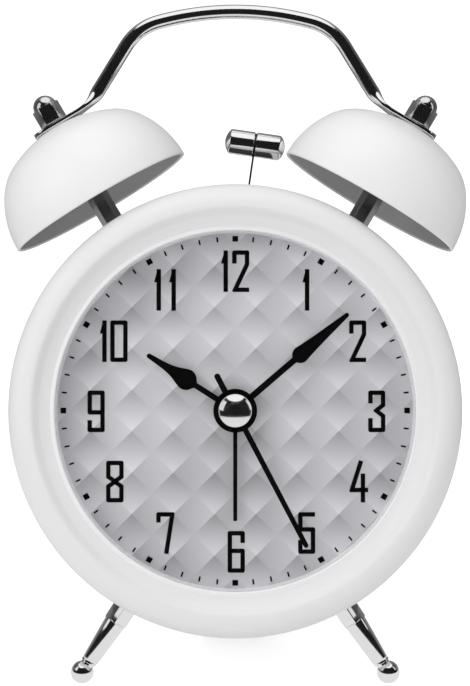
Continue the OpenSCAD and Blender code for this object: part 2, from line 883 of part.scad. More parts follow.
module hour_hand() {
    bulb_at = 14.5;
    color(black)
        hand(1, hour_at, hub_d / 2 - 0.6, hour_tube_r + seat_gap)
            union() {
                leaf([[0, 0.7], [bulb_at - 2.6, 0.7], [bulb_at, 2.62], [bulb_at + 1.4, 2.4],
                    [bulb_at + 3.4, 1.6], [bulb_at + 5.8, 1], [hour_l - 2.4, 0.72], [hour_l - 0.6, 0.6]]);
                translate([0, bulb_at])
                    circle(2.65);
                translate([0, hour_l - 0.6])
                    circle(0.6);
            }
}

module cannon_pinion() {
    color(brass) {
        wheel(cannon_t, motion_module, layer(2), second_pin_r + run_gap);
        pipe(layer(3) - 0.4, hand_z(2) + hand_t, minute_tube_r, second_pin_r + run_gap);
    }
}

module minute_hand() {
    leaf_at = 21.4;
    color(black)
        hand(2, minute_at, hub_d / 2, minute_tube_r + seat_gap)
            union() {
                leaf([[0, 0.8], [leaf_at - 2.2, 0.8], [leaf_at - 0.6, 1.9], [leaf_at + 0.9, 1.95],
                    [leaf_at + 4, 1.55], [minute_l - 0.5, 0.5]]);
                translate([0, leaf_at])
                    circle(2.1);
                translate([0, minute_l - 0.5])
                    circle(0.5);
            }
}

module second_wheel() {
    color(brass) {
        rod(rear_in - 0.7, hand_z(3) + hand_t, second_pin_r);
        wheel(second_pin_t, train_module, layer(4), 0);
        wheel(second_t, train_module, layer(5), 0);
    }
}

module second_hand() {
    w = 0.62;
    color(black)
        hand(3, second_at, hub_cap_d / 2 - 0.1, second_pin_r + seat_gap)
            union() {
                leaf([[-second_tail + w, w], [second_l - w, w]]);
                for (y = [-second_tail + w, second_l - w])
                    translate([0, y])
                        circle(w);
            }
}

module hub_cap() {
    rise = 1.6;
    base = hand_z(3) + hand_t;
    dome_r = (pow(hub_cap_d / 2, 2) + rise * rise) / (2 * rise);
    color(chrome)
        intersection() {
            translate([0, 0, base + rise - dome_r])
                sphere(dome_r);
            rod(base, base + rise + 1, hub_cap_d / 2 + 1);
        }
}

module motion_wheel() {
    color(nylon)
        translate(motion_at) {
            wheel(motion_t, motion_module, layer(2), motion_pin_r + run_gap, motion_turn);
            wheel(motion_pin_t, motion_module, layer(2) + wheel_t - eps, motion_pin_r + run_gap, motion_turn,
                layer_pitch + eps);
        }
}

// Setting shaft with its pinion in layer k, out through the back cover
module setting_shaft(at, teeth, k, turn) {
    translate(at) {
        rod(-cover_back - knob_gap - knob_h + 1, front_plate_back + 0.8, shaft_d / 2);
        wheel(teeth, motion_module, layer(k), 0, turn);
    }
}

module set_shaft() {
    color(brass)
        setting_shaft(set_at, set_t, 2, set_turn);
}

module alarm_shaft() {
    color(brass)
        setting_shaft(alarm_shaft_at, alarm_pin_t, 0, alarm_pin_turn);
}

// Fluted knob outside the back cover
module knob(at) {
    flutes = 20;
    color(white)
        translate([at.x, at.y, -cover_back - knob_gap - knob_h])
            difference() {
                union() {
                    cylinder(h = knob_h, d = knob_d);
                    cylinder(h = knob_h, d = shaft_d + 3);
                }
                for (k = [0:flutes - 1])
                    rotate(k * 360 / flutes)
                        translate([knob_d / 2 + 0.25, 0, -eps])
                            cylinder(h = knob_h + 2 * eps, r = 0.6);
                translate([0, 0, 1])
                    cylinder(h = knob_h, r = shaft_d / 2 + seat_gap);
            }
}

module time_knob() {
    knob(set_at);
}

module alarm_knob() {
    knob(alarm_shaft_at);
}

module minute_wheel() {
    color(brass)
        wheel(minute_t, minute_module, layer(3), minute_tube_r + run_gap, minute_turn);
}

module third_wheel() {
    color(nylon)
        translate(third_at) {
            rod(rear_in - 0.7, middle_front - 0.1, pivot_r);
            wheel(third_t, train_module, layer(4), 0, third_turn);
            wheel(third_pin_t, minute_module, layer(3), 0, third_turn);
        }
}

module step_wheel() {
    color(nylon)
        translate(step_at) {
            rod(rear_in - 0.7, middle_front - 0.1, pivot_r);
            wheel(step_pin_t, train_module, layer(5), 0, step_turn, wheel_t);
            wheel(step_t, train_module, layer(6), 0, step_turn);
            rod(layer(6), layer(5) + eps, 0.7);
        }
}

module rotor() {
    color([0.3, 0.3, 0.32])
        translate(rotor_at) {
            rod(rear_in - 0.7, middle_front - 0.1, pivot_r);
            rod(stator_z0 - 0.6, stator_z0 + stator_t + 0.6, rotor_r);
            wheel(rotor_pin_t, train_module, layer(6), 0, rotor_turn);
        }
}

// Soft iron loop: two poles round the rotor and a core bar through the coil
module stator() {
    pole = rotor_r + stator_gap + 1.3;
    color([0.55, 0.55, 0.58])
        translate([0, 0, stator_z0])
            linear_extrude(stator_t)
                difference() {
                    union() {
                        translate(rotor_at)
                            square(2 * pole, center = true);
                        translate([rotor_at.x - pole - 4, coil_y - core_h / 2])
                            square([2 * pole + 8, core_h]);
                        for (side = [-1, 1])
                            translate([rotor_at.x + side * (pole + 2) - 2, coil_y - core_h / 2])
                                square([4, rotor_at.y - coil_y + core_h / 2 - 1]);
                    }
                    translate(rotor_at)
                        circle(rotor_r + stator_gap);
                    for (side = [-1, 1])
                        translate(rotor_at + [0, side * (rotor_r + stator_gap + 0.6)])
                            circle(0.5);
                }
}

module coil() {
    winding_l = 7.6;
    color([0.7, 0.35, 0.15])
        translate([rotor_at.x - winding_l / 2, coil_y, stator_z0 + stator_t / 2])
            difference() {
                rotate([0, 90, 0]) {
                    cylinder(h = winding_l, r = 3);
                    cylinder(h = 0.8, r = 3.5);
                    translate([0, 0, winding_l - 0.8])
                        cylinder(h = 0.8, r = 3.5);
                }
                translate([-eps, -core_h / 2 - run_gap, -stator_t / 2 - run_gap])
                    cube([winding_l + 2 * eps, core_h + 2 * run_gap, stator_t + 2 * run_gap]);
            }
}

// Board with its chip and the can of its quartz crystal
module circuit_board() {
    board = [21, 17, 1];
    chip = [5, 5, 1];
    can_r = 1;
    can_l = 6;
    color([0.1, 0.35, 0.15])
        translate([5, -25, rear_in]) {
            cube(board);
            translate([3, 5, board.z])
                cube(chip);
            translate([12, 12, board.z + can_r - 0.2])
                rotate([0, 90, 0])
                    cylinder(h = can_l, r = can_r);
        }
}

// Steel plate behind the hammer, with the stub the crank wheel turns on
module hammer_bracket() {
    window_w = 16;
    window_h = 8;
    color([0.6, 0.6, 0.62])
        difference() {
            union() {
                translate([-bracket_w / 2, bracket_low, bracket_front - bracket_t])
                    cube([bracket_w, bracket_h, bracket_t]);
                translate([0, pivot_y + crank_rise, 0])
                    rod(bracket_front - eps, crank_z1, 0.8);
            }
            translate(drive_at)
                rod(bracket_front - bracket_t - eps, bracket_front + eps, 1.2);
            translate([0, pivot_y, 0])
                rod(bracket_front - bracket_t - eps, bracket_front + eps, pin_r + seat_gap);
            translate([-window_w / 2, bracket_low + 5, bracket_front - bracket_t - eps])
                cube([window_w, window_h, bracket_t + 2 * eps]);
        }
}

module hammer_pin() {
    color([0.7, 0.7, 0.72])
        translate([0, pivot_y, 0]) {
            rod(bracket_front - bracket_t, -bell_back + 1.2, pin_r);
            rod(-bell_back + 1.1, -bell_back + 1.7, 1.8);
        }
}

// Hammer pieces stand straight up from the pivot and are then tilted
module at_hammer() {
    translate([0, pivot_y, -bell_back])
        rotate(-hammer_tilt)
            children();
}

module hammer_rocker() {
    bush = 1.9;
    slot_w = 2 * (crank_pin_r + free_gap);
    color([0.7, 0.7, 0.72])
        at_hammer()
            difference() {
                union() {
                    rod(-2.7, 0.9, bush);
                    translate([0, 0, -0.4])
                        linear_extrude(rocker_t) {
                            polygon([[-bush, 0], [bush, 0], [2.6, crank_rise - 2], [2.6, crank_rise + 4.6],
                                [-2.6, crank_rise + 4.6], [-2.6, crank_rise - 2]]);
                        }
                    translate([-1.5, crank_rise + 2, -strip_w / 2])
                        cube([3, 3.6, strip_w]);
                }
                rod(-3, 1, pin_r + run_gap);
                translate([-slot_w / 2, crank_rise - 1.4, -1])
                    cube([slot_w, 2.8, 2]);
                translate([-strip_t / 2, crank_rise + 2.4, -strip_w])
                    cube([strip_t, 6, 2 * strip_w]);
            }
}

module hammer_strip() {
    color([0.6, 0.6, 0.62])
        at_hammer()
            translate([-strip_t / 2, crank_rise + 2.4, -strip_w / 2])
                cube([strip_t, hammer_l + head_d / 2 - 0.4 - crank_rise - 2.4, strip_w]);
}

// Two half heads clamp the strip between their flat faces
module hammer_head() {
    round_r = 1.3;
    half_l = head_l / 2 - strip_t / 2;
    color(chrome)
        at_hammer()
            translate([0, hammer_l, 0])
                for (side = [-1, 1])
                    rotate([0, side * 90, 0])
                        translate([0, 0, strip_t / 2])
                            rotate_extrude() {
                                square([head_d / 2 - round_r, half_l]);
                                translate([0, 0.25])
                                    square([head_d / 2, half_l - round_r - 0.25]);
                                square([head_d / 2 - 0.25, 0.3]);
                                translate([head_d / 2 - round_r, half_l - round_r])
                                    circle(round_r);
                            }
}

// Wheel with the pin that rocks the hammer, its pin ending just short of the rocker
module crank_wheel() {
    color(nylon)
        translate([0, pivot_y + crank_rise, 0]) {
            wheel(crank_teeth, drive_module, crank_z0, 0.8 + run_gap, 0, crank_z1 - crank_z0);
            translate([crank_throw, 0, 0])
                rod(crank_z1 - eps, -bell_back - 0.4 - free_gap, crank_pin_r);
        }
}

module motor() {
    back = bracket_front - bracket_t;
    color([0.65, 0.65, 0.67])
        translate(drive_at)
            difference() {
                union() {
                    rod(back - motor_l, back, motor_r);
                    rod(back - motor_l - 1.2, back - motor_l, 2.4);
                }
                rod(back - 8, back + eps, 0.5 + run_gap);
            }
}

module motor_pinion() {
    color(brass)
        translate(drive_at) {
            rod(bracket_front - bracket_t - 7, crank_z1, 0.5);
            wheel(drive_teeth, drive_module, crank_z0, 0, drive_turn, crank_z1 - crank_z0);
        }
}

module battery_cells() {
    nub_l = 1;
    for (side = [-1, 1])
        color([0.2, 0.22, 0.25])
            translate([0, bay_mid + side * (cell_d + 0.6) / 2, bay_floor - cell_d / 2 - 0.2])
                rotate([0, side * 90, 0]) {
                    rod(-cell_l / 2, cell_l / 2 - nub_l, cell_d / 2);
                    rod(-cell_l / 2, cell_l / 2, 2.7);
                }
}

module battery_contacts() {
    leaf_w = 9;
    z_mid = bay_floor - cell_d / 2 - 0.2;
    color([0.75, 0.76, 0.78])
        for (end = [-1, 1], side = [-1, 1])
            translate([end * (bay_w / 2 - contact_t / 2), bay_mid + side * (cell_d + 0.6) / 2, z_mid]) {
                cube([contact_t, leaf_w, leaf_w], center = true);
                translate([-end * (bay_w / 2 - cell_l / 2 - contact_t) / 2, 0, 0])
                    rotate([0, 90, 0])
                        cylinder(h = bay_w / 2 - cell_l / 2 - contact_t, r = 2, center = true);
            }
}

module battery_door() {
    fit = free_gap / 2;
    ribs = 6;
    color(black)
        difference() {
            translate([-bay_w / 2 - door_ledge + fit, bay_mid - bay_h / 2 - door_ledge + fit, -cover_back])
                cube([bay_w + 2 * (door_ledge - fit), bay_h + 2 * (door_ledge - fit), door_t]);
            for (k = [0:ribs - 1])
                translate([-8, bay_top - 3 - 1.6 * k, -cover_back - eps])
                    cube([16, 0.8, 0.5 + eps]);
        }
}

module alarm_switch() {
    color(white)
        difference() {
            union() {
                translate([switch_at.x - switch_slot.x / 2, switch_at.y - switch_slot.y / 2, -cover_back - 2])
                    cube([switch_slot.x, switch_slot.y, cover_t + 3]);
                translate([switch_at.x - 5, switch_at.y - 3.4, -case_back + run_gap])
                    cube([10, 6.8, 1.4]);
            }
            for (x = [-1.4, 0, 1.4])
                translate([switch_at.x + x - 0.25, switch_at.y - 4, -cover_back - 2 - eps])
                    cube([0.5, 8, 0.5 + eps]);
        }
}

stand() bezel();
stand() lens();
stand() dial_ring();
stand() dial();
stand() case_drum();
stand() back_cover();
stand() cover_screws();
stand() heel_pad();
stand() bell(-1);  // left_bell
stand() bell(1);  // right_bell
stand() post(-1);  // left_post
stand() post(1);  // right_post
stand() post_nuts();
stand() cap_nuts();
stand() handle();
stand() leg(-1);  // left_leg
stand() leg(1);  // right_leg
stand() leg_nuts();
stand() movement_front();
stand() movement_middle();
stand() movement_rear();
stand() dial_nut();
stand() alarm_wheel();
stand() alarm_hand();
stand() hour_wheel();
stand() hour_hand();
stand() cannon_pinion();
stand() minute_hand();
stand() second_wheel();
stand() second_hand();
stand() hub_cap();
stand() motion_wheel();
stand() set_shaft();
stand() time_knob();
stand() alarm_shaft();
stand() alarm_knob();
stand() minute_wheel();
stand() third_wheel();
stand() step_wheel();
stand() rotor();
stand() stator();
stand() coil();
stand() circuit_board();
stand() hammer_bracket();
stand() hammer_pin();
stand() hammer_rocker();
stand() hammer_strip();
stand() hammer_head();
stand() crank_wheel();
stand() motor();
stand() motor_pinion();
stand() battery_cells();
stand() battery_contacts();
stand() battery_door();
stand() alarm_switch();
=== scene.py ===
# %% [markdown]
# # A twin-bell alarm clock
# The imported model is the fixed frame: every piece below sits where the frame says and rides on one
# of its bodies. Shapes are drawn lying flat, in millimetres, with the dial face at height zero, the
# top of the dial along +Y and the viewer along +Z. One matrix then stands the clock up and leans it
# back, so that a number on the page is a number on the drawing board.

# %% The frame and the drawing board
import json
import math

import bmesh
import bpy
from mathutils import Matrix, Vector


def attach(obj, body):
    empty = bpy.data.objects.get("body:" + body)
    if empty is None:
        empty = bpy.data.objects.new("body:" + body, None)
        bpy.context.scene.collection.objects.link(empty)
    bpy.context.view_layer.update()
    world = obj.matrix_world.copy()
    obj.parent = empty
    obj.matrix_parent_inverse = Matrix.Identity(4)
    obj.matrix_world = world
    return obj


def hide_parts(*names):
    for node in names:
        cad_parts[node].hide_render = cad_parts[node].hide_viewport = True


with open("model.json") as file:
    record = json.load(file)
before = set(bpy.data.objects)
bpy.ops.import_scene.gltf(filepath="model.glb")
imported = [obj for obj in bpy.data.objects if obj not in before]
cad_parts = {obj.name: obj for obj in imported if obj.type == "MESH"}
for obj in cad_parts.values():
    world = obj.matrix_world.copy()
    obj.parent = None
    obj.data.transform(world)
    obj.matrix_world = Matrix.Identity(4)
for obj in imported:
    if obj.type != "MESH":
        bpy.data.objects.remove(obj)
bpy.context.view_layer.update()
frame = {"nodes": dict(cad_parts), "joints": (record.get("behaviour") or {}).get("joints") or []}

MM = 0.001
LEAN = math.radians(14)
DIAL_CENTRE = Vector(next(j["pos_m"] for j in frame["joints"] if j["name"] == "minute_spin"))
CLOCK = (
    Matrix.Translation(DIAL_CENTRE)
    @ Matrix.Rotation(math.pi / 2 - LEAN, 4, "X")
    @ Matrix.Scale(MM, 4)
)
SIDES = ((-1, "left"), (1, "right"))


def toward(degrees):
    """Direction on the flat dial, clockwise from twelve."""
    return Vector((math.sin(math.radians(degrees)), math.cos(math.radians(degrees))))


# %% [markdown]
# ## Small tools for making pieces
# Most of this clock came off a lathe or out of a press, so the first tool turns a profile round an
# axis with the spin operator. A piece can hold several such shapes, so they are joined in one bmesh.
# The last tool stands the finished mesh up, gives it its finish and hands it to its body.


# %% Turning and drawing
def turned(profile, closed=False, steps=128):
    """Spins [radius, height] points round the Z axis."""
    bm = bmesh.new()
    verts = [bm.verts.new((r, 0, z)) for r, z in profile]
    ends = verts[1:] + verts[:1] if closed else verts[1:]
    edges = [bm.edges.new(pair) for pair in zip(verts, ends)]
    bmesh.ops.spin(
        bm,
        geom=verts + edges,
        axis=(0, 0, 1),
        cent=(0, 0, 0),
        angle=2 * math.pi,
        steps=steps,
        use_merge=True,
    )
    bmesh.ops.remove_doubles(bm, verts=bm.verts, dist=0.002)
    return bm


def arc(centre, radius, start, end, steps):
    """Points of an arc, angles in degrees."""
    angles = [math.radians(start + (end - start) * k / steps) for k in range(steps + 1)]
    return [(centre[0] + radius * math.cos(a), centre[1] + radius * math.sin(a)) for a in angles]


def blend_value(a, b, t):
    return a + (b - a) * t


def smooth_step(t):
    return t * t * (3 - 2 * t)


# %% Joining, rounding and handing over
def join(bm, part, at=Matrix.Identity(4), finish=0):
    """Moves part into place and adds it to bm."""
    for face in part.faces:
        face.material_index = finish
    part.transform(at)
    mesh = bpy.data.meshes.new("joined")
    part.to_mesh(mesh)
    part.free()
    bm.from_mesh(mesh)
    bpy.data.meshes.remove(mesh)


def soften(bm, width, segments=2, angle=30):
    """Rounds every edge that is sharper than angle."""
    bm.normal_update()
    sharp = [
        e for e in bm.edges if len(e.link_faces) == 2 and e.calc_face_angle() > math.radians(angle)
    ]
    bmesh.ops.bevel(
        bm,
        geom=sharp,
        offset=width,
        segments=segments,
        profile=0.5,
        affect="EDGES",
        material=-1,
        clamp_overlap=True,
    )


def prism(sides, across, z0, z1, edge):
    """Bar with flat sides along Z, its edges rounded."""
    bm = bmesh.new()
    bmesh.ops.create_cone(
        bm,
        cap_ends=True,
        segments=sides,
        radius1=across / 2,
        radius2=across / 2,
        depth=z1 - z0,
        matrix=Matrix.Translation((0, 0, (z0 + z1) / 2)),
    )
    quarter_turn = Matrix.Rotation(math.pi / 2, 3, "Z")
    bmesh.ops.rotate(bm, verts=bm.verts, cent=(0, 0, 0), matrix=quarter_turn)
    soften(bm, edge)
    return bm


def hand_over(bm, name, body, finishes, stands_for=(), crease=40):
    """Stands the mesh up as a finished piece that rides on body."""
    bmesh.ops.remove_doubles(bm, verts=bm.verts, dist=0.001)
    bmesh.ops.recalc_face_normals(bm, faces=bm.faces)
    bm.transform(CLOCK)
    mesh = bpy.data.meshes.new(name)
    bm.to_mesh(mesh)
    bm.free()
    for finish in finishes:
        mesh.materials.append(finish)
    mesh.shade_smooth()
    mesh.set_sharp_from_angle(angle=math.radians(crease))
    piece = bpy.data.objects.new(name, mesh)
    bpy.context.collection.objects.link(piece)
    if stands_for:
        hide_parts(*stands_for)
    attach(piece, body)
    print(name, len(mesh.polygons), "faces")


# %% [markdown]
# ## Finishes
# Real surfaces are never even: enamel has a faint orange peel, plating has hair scratches, moulded
# plastic has a fine grain. All of these are a noise that moves the roughness, the colour and the
# height a little, so one node group makes it, and every finish uses it with its own values. A second,
# broader noise makes the colour drift, as handled metal and aged enamel do.


# %% Tools for node trees
def chain(tree, operation, *values):
    """One Math node fed by sockets or plain numbers; gives back its output."""
    node = tree.nodes.new("ShaderNodeMath")
    node.operation = operation
    for k, value in enumerate(values):
        if isinstance(value, (int, float)):
            node.inputs[k].default_value = value
        else:
            tree.links.new(value, node.inputs[k])
    return node.outputs["Value"]


def plain_finish(name, values):
    """A Principled material with constant values on its sockets."""
    finish = bpy.data.materials.new(name)
    finish.use_nodes = True
    surface = finish.node_tree.nodes["Principled BSDF"]
    for socket, value in values.items():
        surface.inputs[socket].default_value = value
    return finish


# %% A shared group for uneven surfaces
def make_uneven_group():
    group = bpy.data.node_groups.new("uneven_surface", "ShaderNodeTree")
    new_socket = group.interface.new_socket
    new_socket(name="Colour", in_out="INPUT", socket_type="NodeSocketColor")
    for name in ("Drift", "Scale", "Roughness", "Spread", "Stretch"):
        new_socket(name=name, in_out="INPUT", socket_type="NodeSocketFloat")
    new_socket(name="Colour", in_out="OUTPUT", socket_type="NodeSocketColor")
    for name in ("Roughness", "Height"):
        new_socket(name=name, in_out="OUTPUT", socket_type="NodeSocketFloat")
    nodes, links = group.nodes, group.links
    given = nodes.new("NodeGroupInput").outputs
    result = nodes.new("NodeGroupOutput").inputs
    place = nodes.new("ShaderNodeTexCoord").outputs["Object"]

    stretch = nodes.new("ShaderNodeCombineXYZ")
    stretch.inputs["Y"].default_value = 1
    stretch.inputs["Z"].default_value = 1
    links.new(given["Stretch"], stretch.inputs["X"])
    stretched = nodes.new("ShaderNodeVectorMath")
    stretched.operation = "MULTIPLY"
    links.new(place, stretched.inputs[0])
    links.new(stretch.outputs["Vector"], stretched.inputs[1])
    fine = nodes.new("ShaderNodeTexNoise")
    fine.inputs["Detail"].default_value = 4
    links.new(stretched.outputs["Vector"], fine.inputs["Vector"])
    links.new(given["Scale"], fine.inputs["Scale"])
    swing = chain(group, "SUBTRACT", fine.outputs["Fac"], 0.5)
    rough = chain(group, "MULTIPLY_ADD", swing, given["Spread"], given["Roughness"])
    links.new(rough, result["Roughness"])
    links.new(fine.outputs["Fac"], result["Height"])

    broad = nodes.new("ShaderNodeTexNoise")
    broad.inputs["Scale"].default_value = 60
    broad.inputs["Detail"].default_value = 6
    links.new(place, broad.inputs["Vector"])
    drift = chain(group, "SUBTRACT", broad.outputs["Fac"], 0.5)
    shade = chain(group, "MULTIPLY_ADD", drift, given["Drift"], 1)
    tinted = nodes.new("ShaderNodeVectorMath")
    tinted.operation = "SCALE"
    links.new(given["Colour"], tinted.inputs[0])
    links.new(shade, tinted.inputs["Scale"])
    links.new(tinted.outputs["Vector"], result["Colour"])
    return group


UNEVEN = make_uneven_group()
print("uneven_surface", len(UNEVEN.nodes), "nodes")

# %% [markdown]
# Each finish below gives a colour, a roughness and its spread, the size of the grain (a larger scale
# is a finer grain) and its height in millimetres. Metals, coats and dull blacks add a socket or two.


# %% The clock's finishes
def new_finish(name, colour, rough, spread, scale, lift, extra={}, drift=0.08, stretch=1.0):
    """A Principled surface whose colour, roughness and height come from the uneven group."""
    finish = plain_finish(name, extra)
    nodes, links = finish.node_tree.nodes, finish.node_tree.links
    surface = nodes["Principled BSDF"]
    uneven = nodes.new("ShaderNodeGroup")
    uneven.node_tree = UNEVEN
    uneven.inputs["Colour"].default_value = (*colour, 1)
    for socket, value in (("Drift", drift), ("Scale", scale), ("Roughness", rough),
                          ("Spread", spread), ("Stretch", stretch)):
        uneven.inputs[socket].default_value = value
    bump = nodes.new("ShaderNodeBump")
    bump.inputs["Strength"].default_value = 0.25
    bump.inputs["Distance"].default_value = lift * MM
    links.new(uneven.outputs["Colour"], surface.inputs["Base Color"])
    links.new(uneven.outputs["Roughness"], surface.inputs["Roughness"])
    links.new(uneven.outputs["Height"], bump.inputs["Height"])
    links.new(bump.outputs["Normal"], surface.inputs["Normal"])
    return finish


METAL, COATED = {"Metallic": 1}, {"Coat Weight": 0.15}
DULL, DULLEST = {"Specular IOR Level": 0.1}, {"Specular IOR Level": 0.05}
INK = (0.003, 0.003, 0.003)
ENAMEL = new_finish("white_enamel", (0.88, 0.88, 0.884), 0.42, 0.08, 700, 0.02, COATED, 0.03)
# The bells wear the same white enamel as the bezel. This copy is lighter, which paints extra light on
# the bells.
BELL_ENAMEL_WITH_PAINTED_LIGHT = new_finish("bell_enamel_with_painted_light", (0.94, 0.94, 0.943), 0.42, 0.08, 700, 0.02, COATED, 0.03)
BELL_INSIDE = new_finish("bell_inside", (0.56, 0.56, 0.57), 0.5, 0.1, 500, 0.03)
# The dial ring's own white. It is also put on the bezel's lip as a painted highlight.
RING_WHITE_AND_LIP_HIGHLIGHT = new_finish("ring_white_and_lip_highlight", (0.95, 0.95, 0.965), 0.3, 0.08, 900, 0.01, drift=0.02)
CHROME = new_finish("chrome", (0.9, 0.9, 0.91), 0.1, 0.05, 400, 0.002, METAL)
NUT_STEEL = new_finish("nut_steel", (0.78, 0.78, 0.79), 0.15, 0.1, 500, 0.01, METAL)
POST_STEEL = new_finish("post_steel", (0.3, 0.3, 0.31), 0.3, 0.15, 600, 0.02, METAL)
SPRING_STEEL = new_finish("spring_steel", (0.2, 0.2, 0.21), 0.35, 0.1, 900, 0.01, METAL)
HAND_BLACK = new_finish("hand_black", INK, 0.45, 0.1, 900, 0.01, DULL)
PRINT_BLACK = new_finish("print_black", INK, 0.6, 0.1, 1500, 0.005, DULLEST)
# The black of the back cover. The same finish also colours the painted shade sheet under the hammer.
BLACK_PLASTIC_AND_SHADE = new_finish("black_plastic", (0.025, 0.025, 0.027), 0.5, 0.15, 2500, 0.05)
WHITE_PLASTIC = new_finish("white_plastic", (0.82, 0.82, 0.83), 0.38, 0.1, 1500, 0.02)
SILICONE = new_finish("heel_silicone", (0.62, 0.62, 0.63), 0.55, 0.1, 1800, 0.04)
BRASS = new_finish("brass", (0.7, 0.5, 0.2), 0.28, 0.12, 600, 0.01, METAL)
NYLON = new_finish("nylon", (0.75, 0.74, 0.68), 0.5, 0.1, 1000, 0.02)
PLAIN_STEEL = new_finish("plain_steel", (0.5, 0.5, 0.52), 0.32, 0.12, 500, 0.01, METAL)
COPPER_COIL = new_finish("copper_coil", (0.5, 0.2, 0.07), 0.4, 0.1, 900, 0.03, METAL, stretch=6)
BOARD = new_finish("circuit_board", (0.03, 0.16, 0.06), 0.4, 0.1, 900, 0.01)
CELL = new_finish("cell_jacket", (0.1, 0.11, 0.14), 0.35, 0.1, 600, 0.01)
LENS = plain_finish("clear_lens", {
    "Base Color": (1, 1, 1, 1), "Roughness": 0.02, "Transmission Weight": 1, "IOR": 1.45,
    "Alpha": 0.03,
})

# %% Finishes for the pieces that are shown as they were packed
CARRIED_OVER = {
    ENAMEL: ["case_drum"],
    RING_WHITE_AND_LIP_HIGHLIGHT: ["dial_ring"],
    LENS: ["lens"],
    BLACK_PLASTIC_AND_SHADE: ["back_cover", "battery_door"],
    WHITE_PLASTIC: ["time_knob", "alarm_knob", "alarm_switch"],
    SILICONE: ["heel_pad"],
    CHROME: ["cover_screws"],
    BRASS: [
        "post_nuts", "leg_nuts", "dial_nut", "cannon_pinion", "second_wheel", "set_shaft",
        "alarm_shaft", "minute_wheel", "motor_pinion",
    ],
    NYLON: [
        "movement_front", "movement_middle", "movement_rear", "alarm_wheel", "hour_wheel",
        "motion_wheel", "third_wheel", "step_wheel", "crank_wheel",
    ],
    PLAIN_STEEL: [
        "stator", "rotor", "hammer_bracket", "hammer_pin", "hammer_rocker", "motor",
        "battery_contacts",
    ],
    COPPER_COIL: ["coil"],
    BOARD: ["circuit_board"],
    CELL: ["battery_cells"],
}
for finish, names in CARRIED_OVER.items():
    for name in names:
        mesh = frame["nodes"][name].data
        mesh.materials.clear()
        mesh.materials.append(finish)
print(len(bpy.data.materials), "finishes")

# %% [markdown]
# ## Bezel
# The white front ring is one pressed and enamelled piece: a round outer bead whose inner side curls
# down to a band that slopes in to a small lip over the lens, whose faces take the whiter ring finish
# as a painted highlight. It is a single profile turned once, with short arcs wherever the press left a
# radius, so the light rolls over it without a hard line. Under the lens lies the edge of the white
# dial ring, which shows as a pale line round the dial.

# %% Bezel
front, bead_radius, crest, opening, edge = 12.2, 5.9, 50.3, 44.5, 56.2
lip_radius, lip_middle, lip_end = 0.45, 9.1, 45.7
band_start, band_slope, rise_from, rise_to = 9.35, 0.42, 48.0, 50.4
back_face, back_round = -1.2, 0.6


def band_height(r):
    """A gently sloping band that curls up into the bead."""
    low = band_start + band_slope * (min(r, rise_from) - lip_end)
    t = max(0, (r - rise_from) / (rise_to - rise_from))
    carried_on = t * (1 - t) ** 2 * band_slope * (rise_to - rise_from)
    return low + (front - low) * smooth_step(t) + carried_on


band = [lip_end, 47.0] + [rise_from + (rise_to - rise_from) * k / 12 for k in range(12)]
inner_wall = [(52.35, 0.3), (54.7, 0.3), (54.7, 6.7), (51.0, 10.6), (48.6, 9.8), (47.7, 8.6)]
bezel_profile = (
    arc((opening + lip_radius, lip_middle), lip_radius, 270, 45, 16)
    + [(r, band_height(r)) for r in band]
    + arc((crest, front - bead_radius), bead_radius, 86, 0, 26)
    + arc((edge - back_round, back_face + back_round), back_round, 0, -90, 5)
    + [(52.35, back_face)]
    + inner_wall
)
bezel = turned(bezel_profile, closed=True, steps=192)
# Painted highlight: the lip's faces take the whiter ring finish instead of the bezel's enamel.
for face in bezel.faces:
    face.material_index = int(face.calc_center_median().xy.length < lip_end)
hand_over(bezel, "bezel_ring", "case", [ENAMEL, RING_WHITE_AND_LIP_HIGHLIGHT], ["bezel"])
ledge = [(44.35, 6.5), (44.35, 6.87), (44.43, 6.95), (45.6, 6.95), (45.6, 6.5)]
hand_over(turned(ledge, closed=True, steps=192), "ring_ledge", "case", [RING_WHITE_AND_LIP_HIGHLIGHT])

# %% [markdown]
# ## Bells
# Each bell is a spun steel cup: nearly half a ball at the rim, then a tighter shoulder and a flatter
# crown. Outside it is enamelled in a lighter copy of the bezel's enamel, whose extra lightness is
# painted light, and inside it is a plain mid grey, so the two skins are turned apart, given their own
# finish and welded along a rolled rim.

# %% Where the bells stand
DRUM_RADIUS, POST_ANGLE, POST_LENGTH = 52.3, 33.3, 11.3
BELL_TILT, BELL_BACK = 30.6, 14
BELL_AT = DRUM_RADIUS * toward(POST_ANGLE) + POST_LENGTH * toward(BELL_TILT)


def on_bell(side):
    """From the bell's own axis to the flat clock."""
    return (
        Matrix.Translation((side * BELL_AT.x, BELL_AT.y, -BELL_BACK))
        @ Matrix.Rotation(math.radians(-side * BELL_TILT), 4, "Z")
        @ Matrix.Rotation(-math.pi / 2, 4, "X")
    )


# %% Bells
rim_radius, shoulder_radius, bell_wall, stud_hole, crown_land = 24.7, 14, 0.9, 1.55, 0.2
rim_angle, crown_angle = 35, 63
shoulder_centre = [
    (rim_radius - shoulder_radius) * f(math.radians(rim_angle)) for f in (math.cos, math.sin)
]
crown_gap = shoulder_centre[0] / math.cos(math.radians(crown_angle))
crown_radius = shoulder_radius + crown_gap
crown_centre = (0, shoulder_centre[1] - crown_gap * math.sin(math.radians(crown_angle)))
bell_height = crown_centre[1] + crown_radius - crown_land


def bell_skin(inset, top):
    """Profile of one side of the sheet, from the rim to the flat land under the nut."""
    last = math.degrees(math.asin((top - crown_centre[1]) / (crown_radius - inset)))
    return (
        arc((0, 0), rim_radius - inset, 0, rim_angle, 14)
        + arc(shoulder_centre, shoulder_radius - inset, rim_angle + 4, crown_angle, 10)
        + arc(crown_centre, crown_radius - inset, crown_angle + 3, last, 10)
        + [(stud_hole, top)]
    )


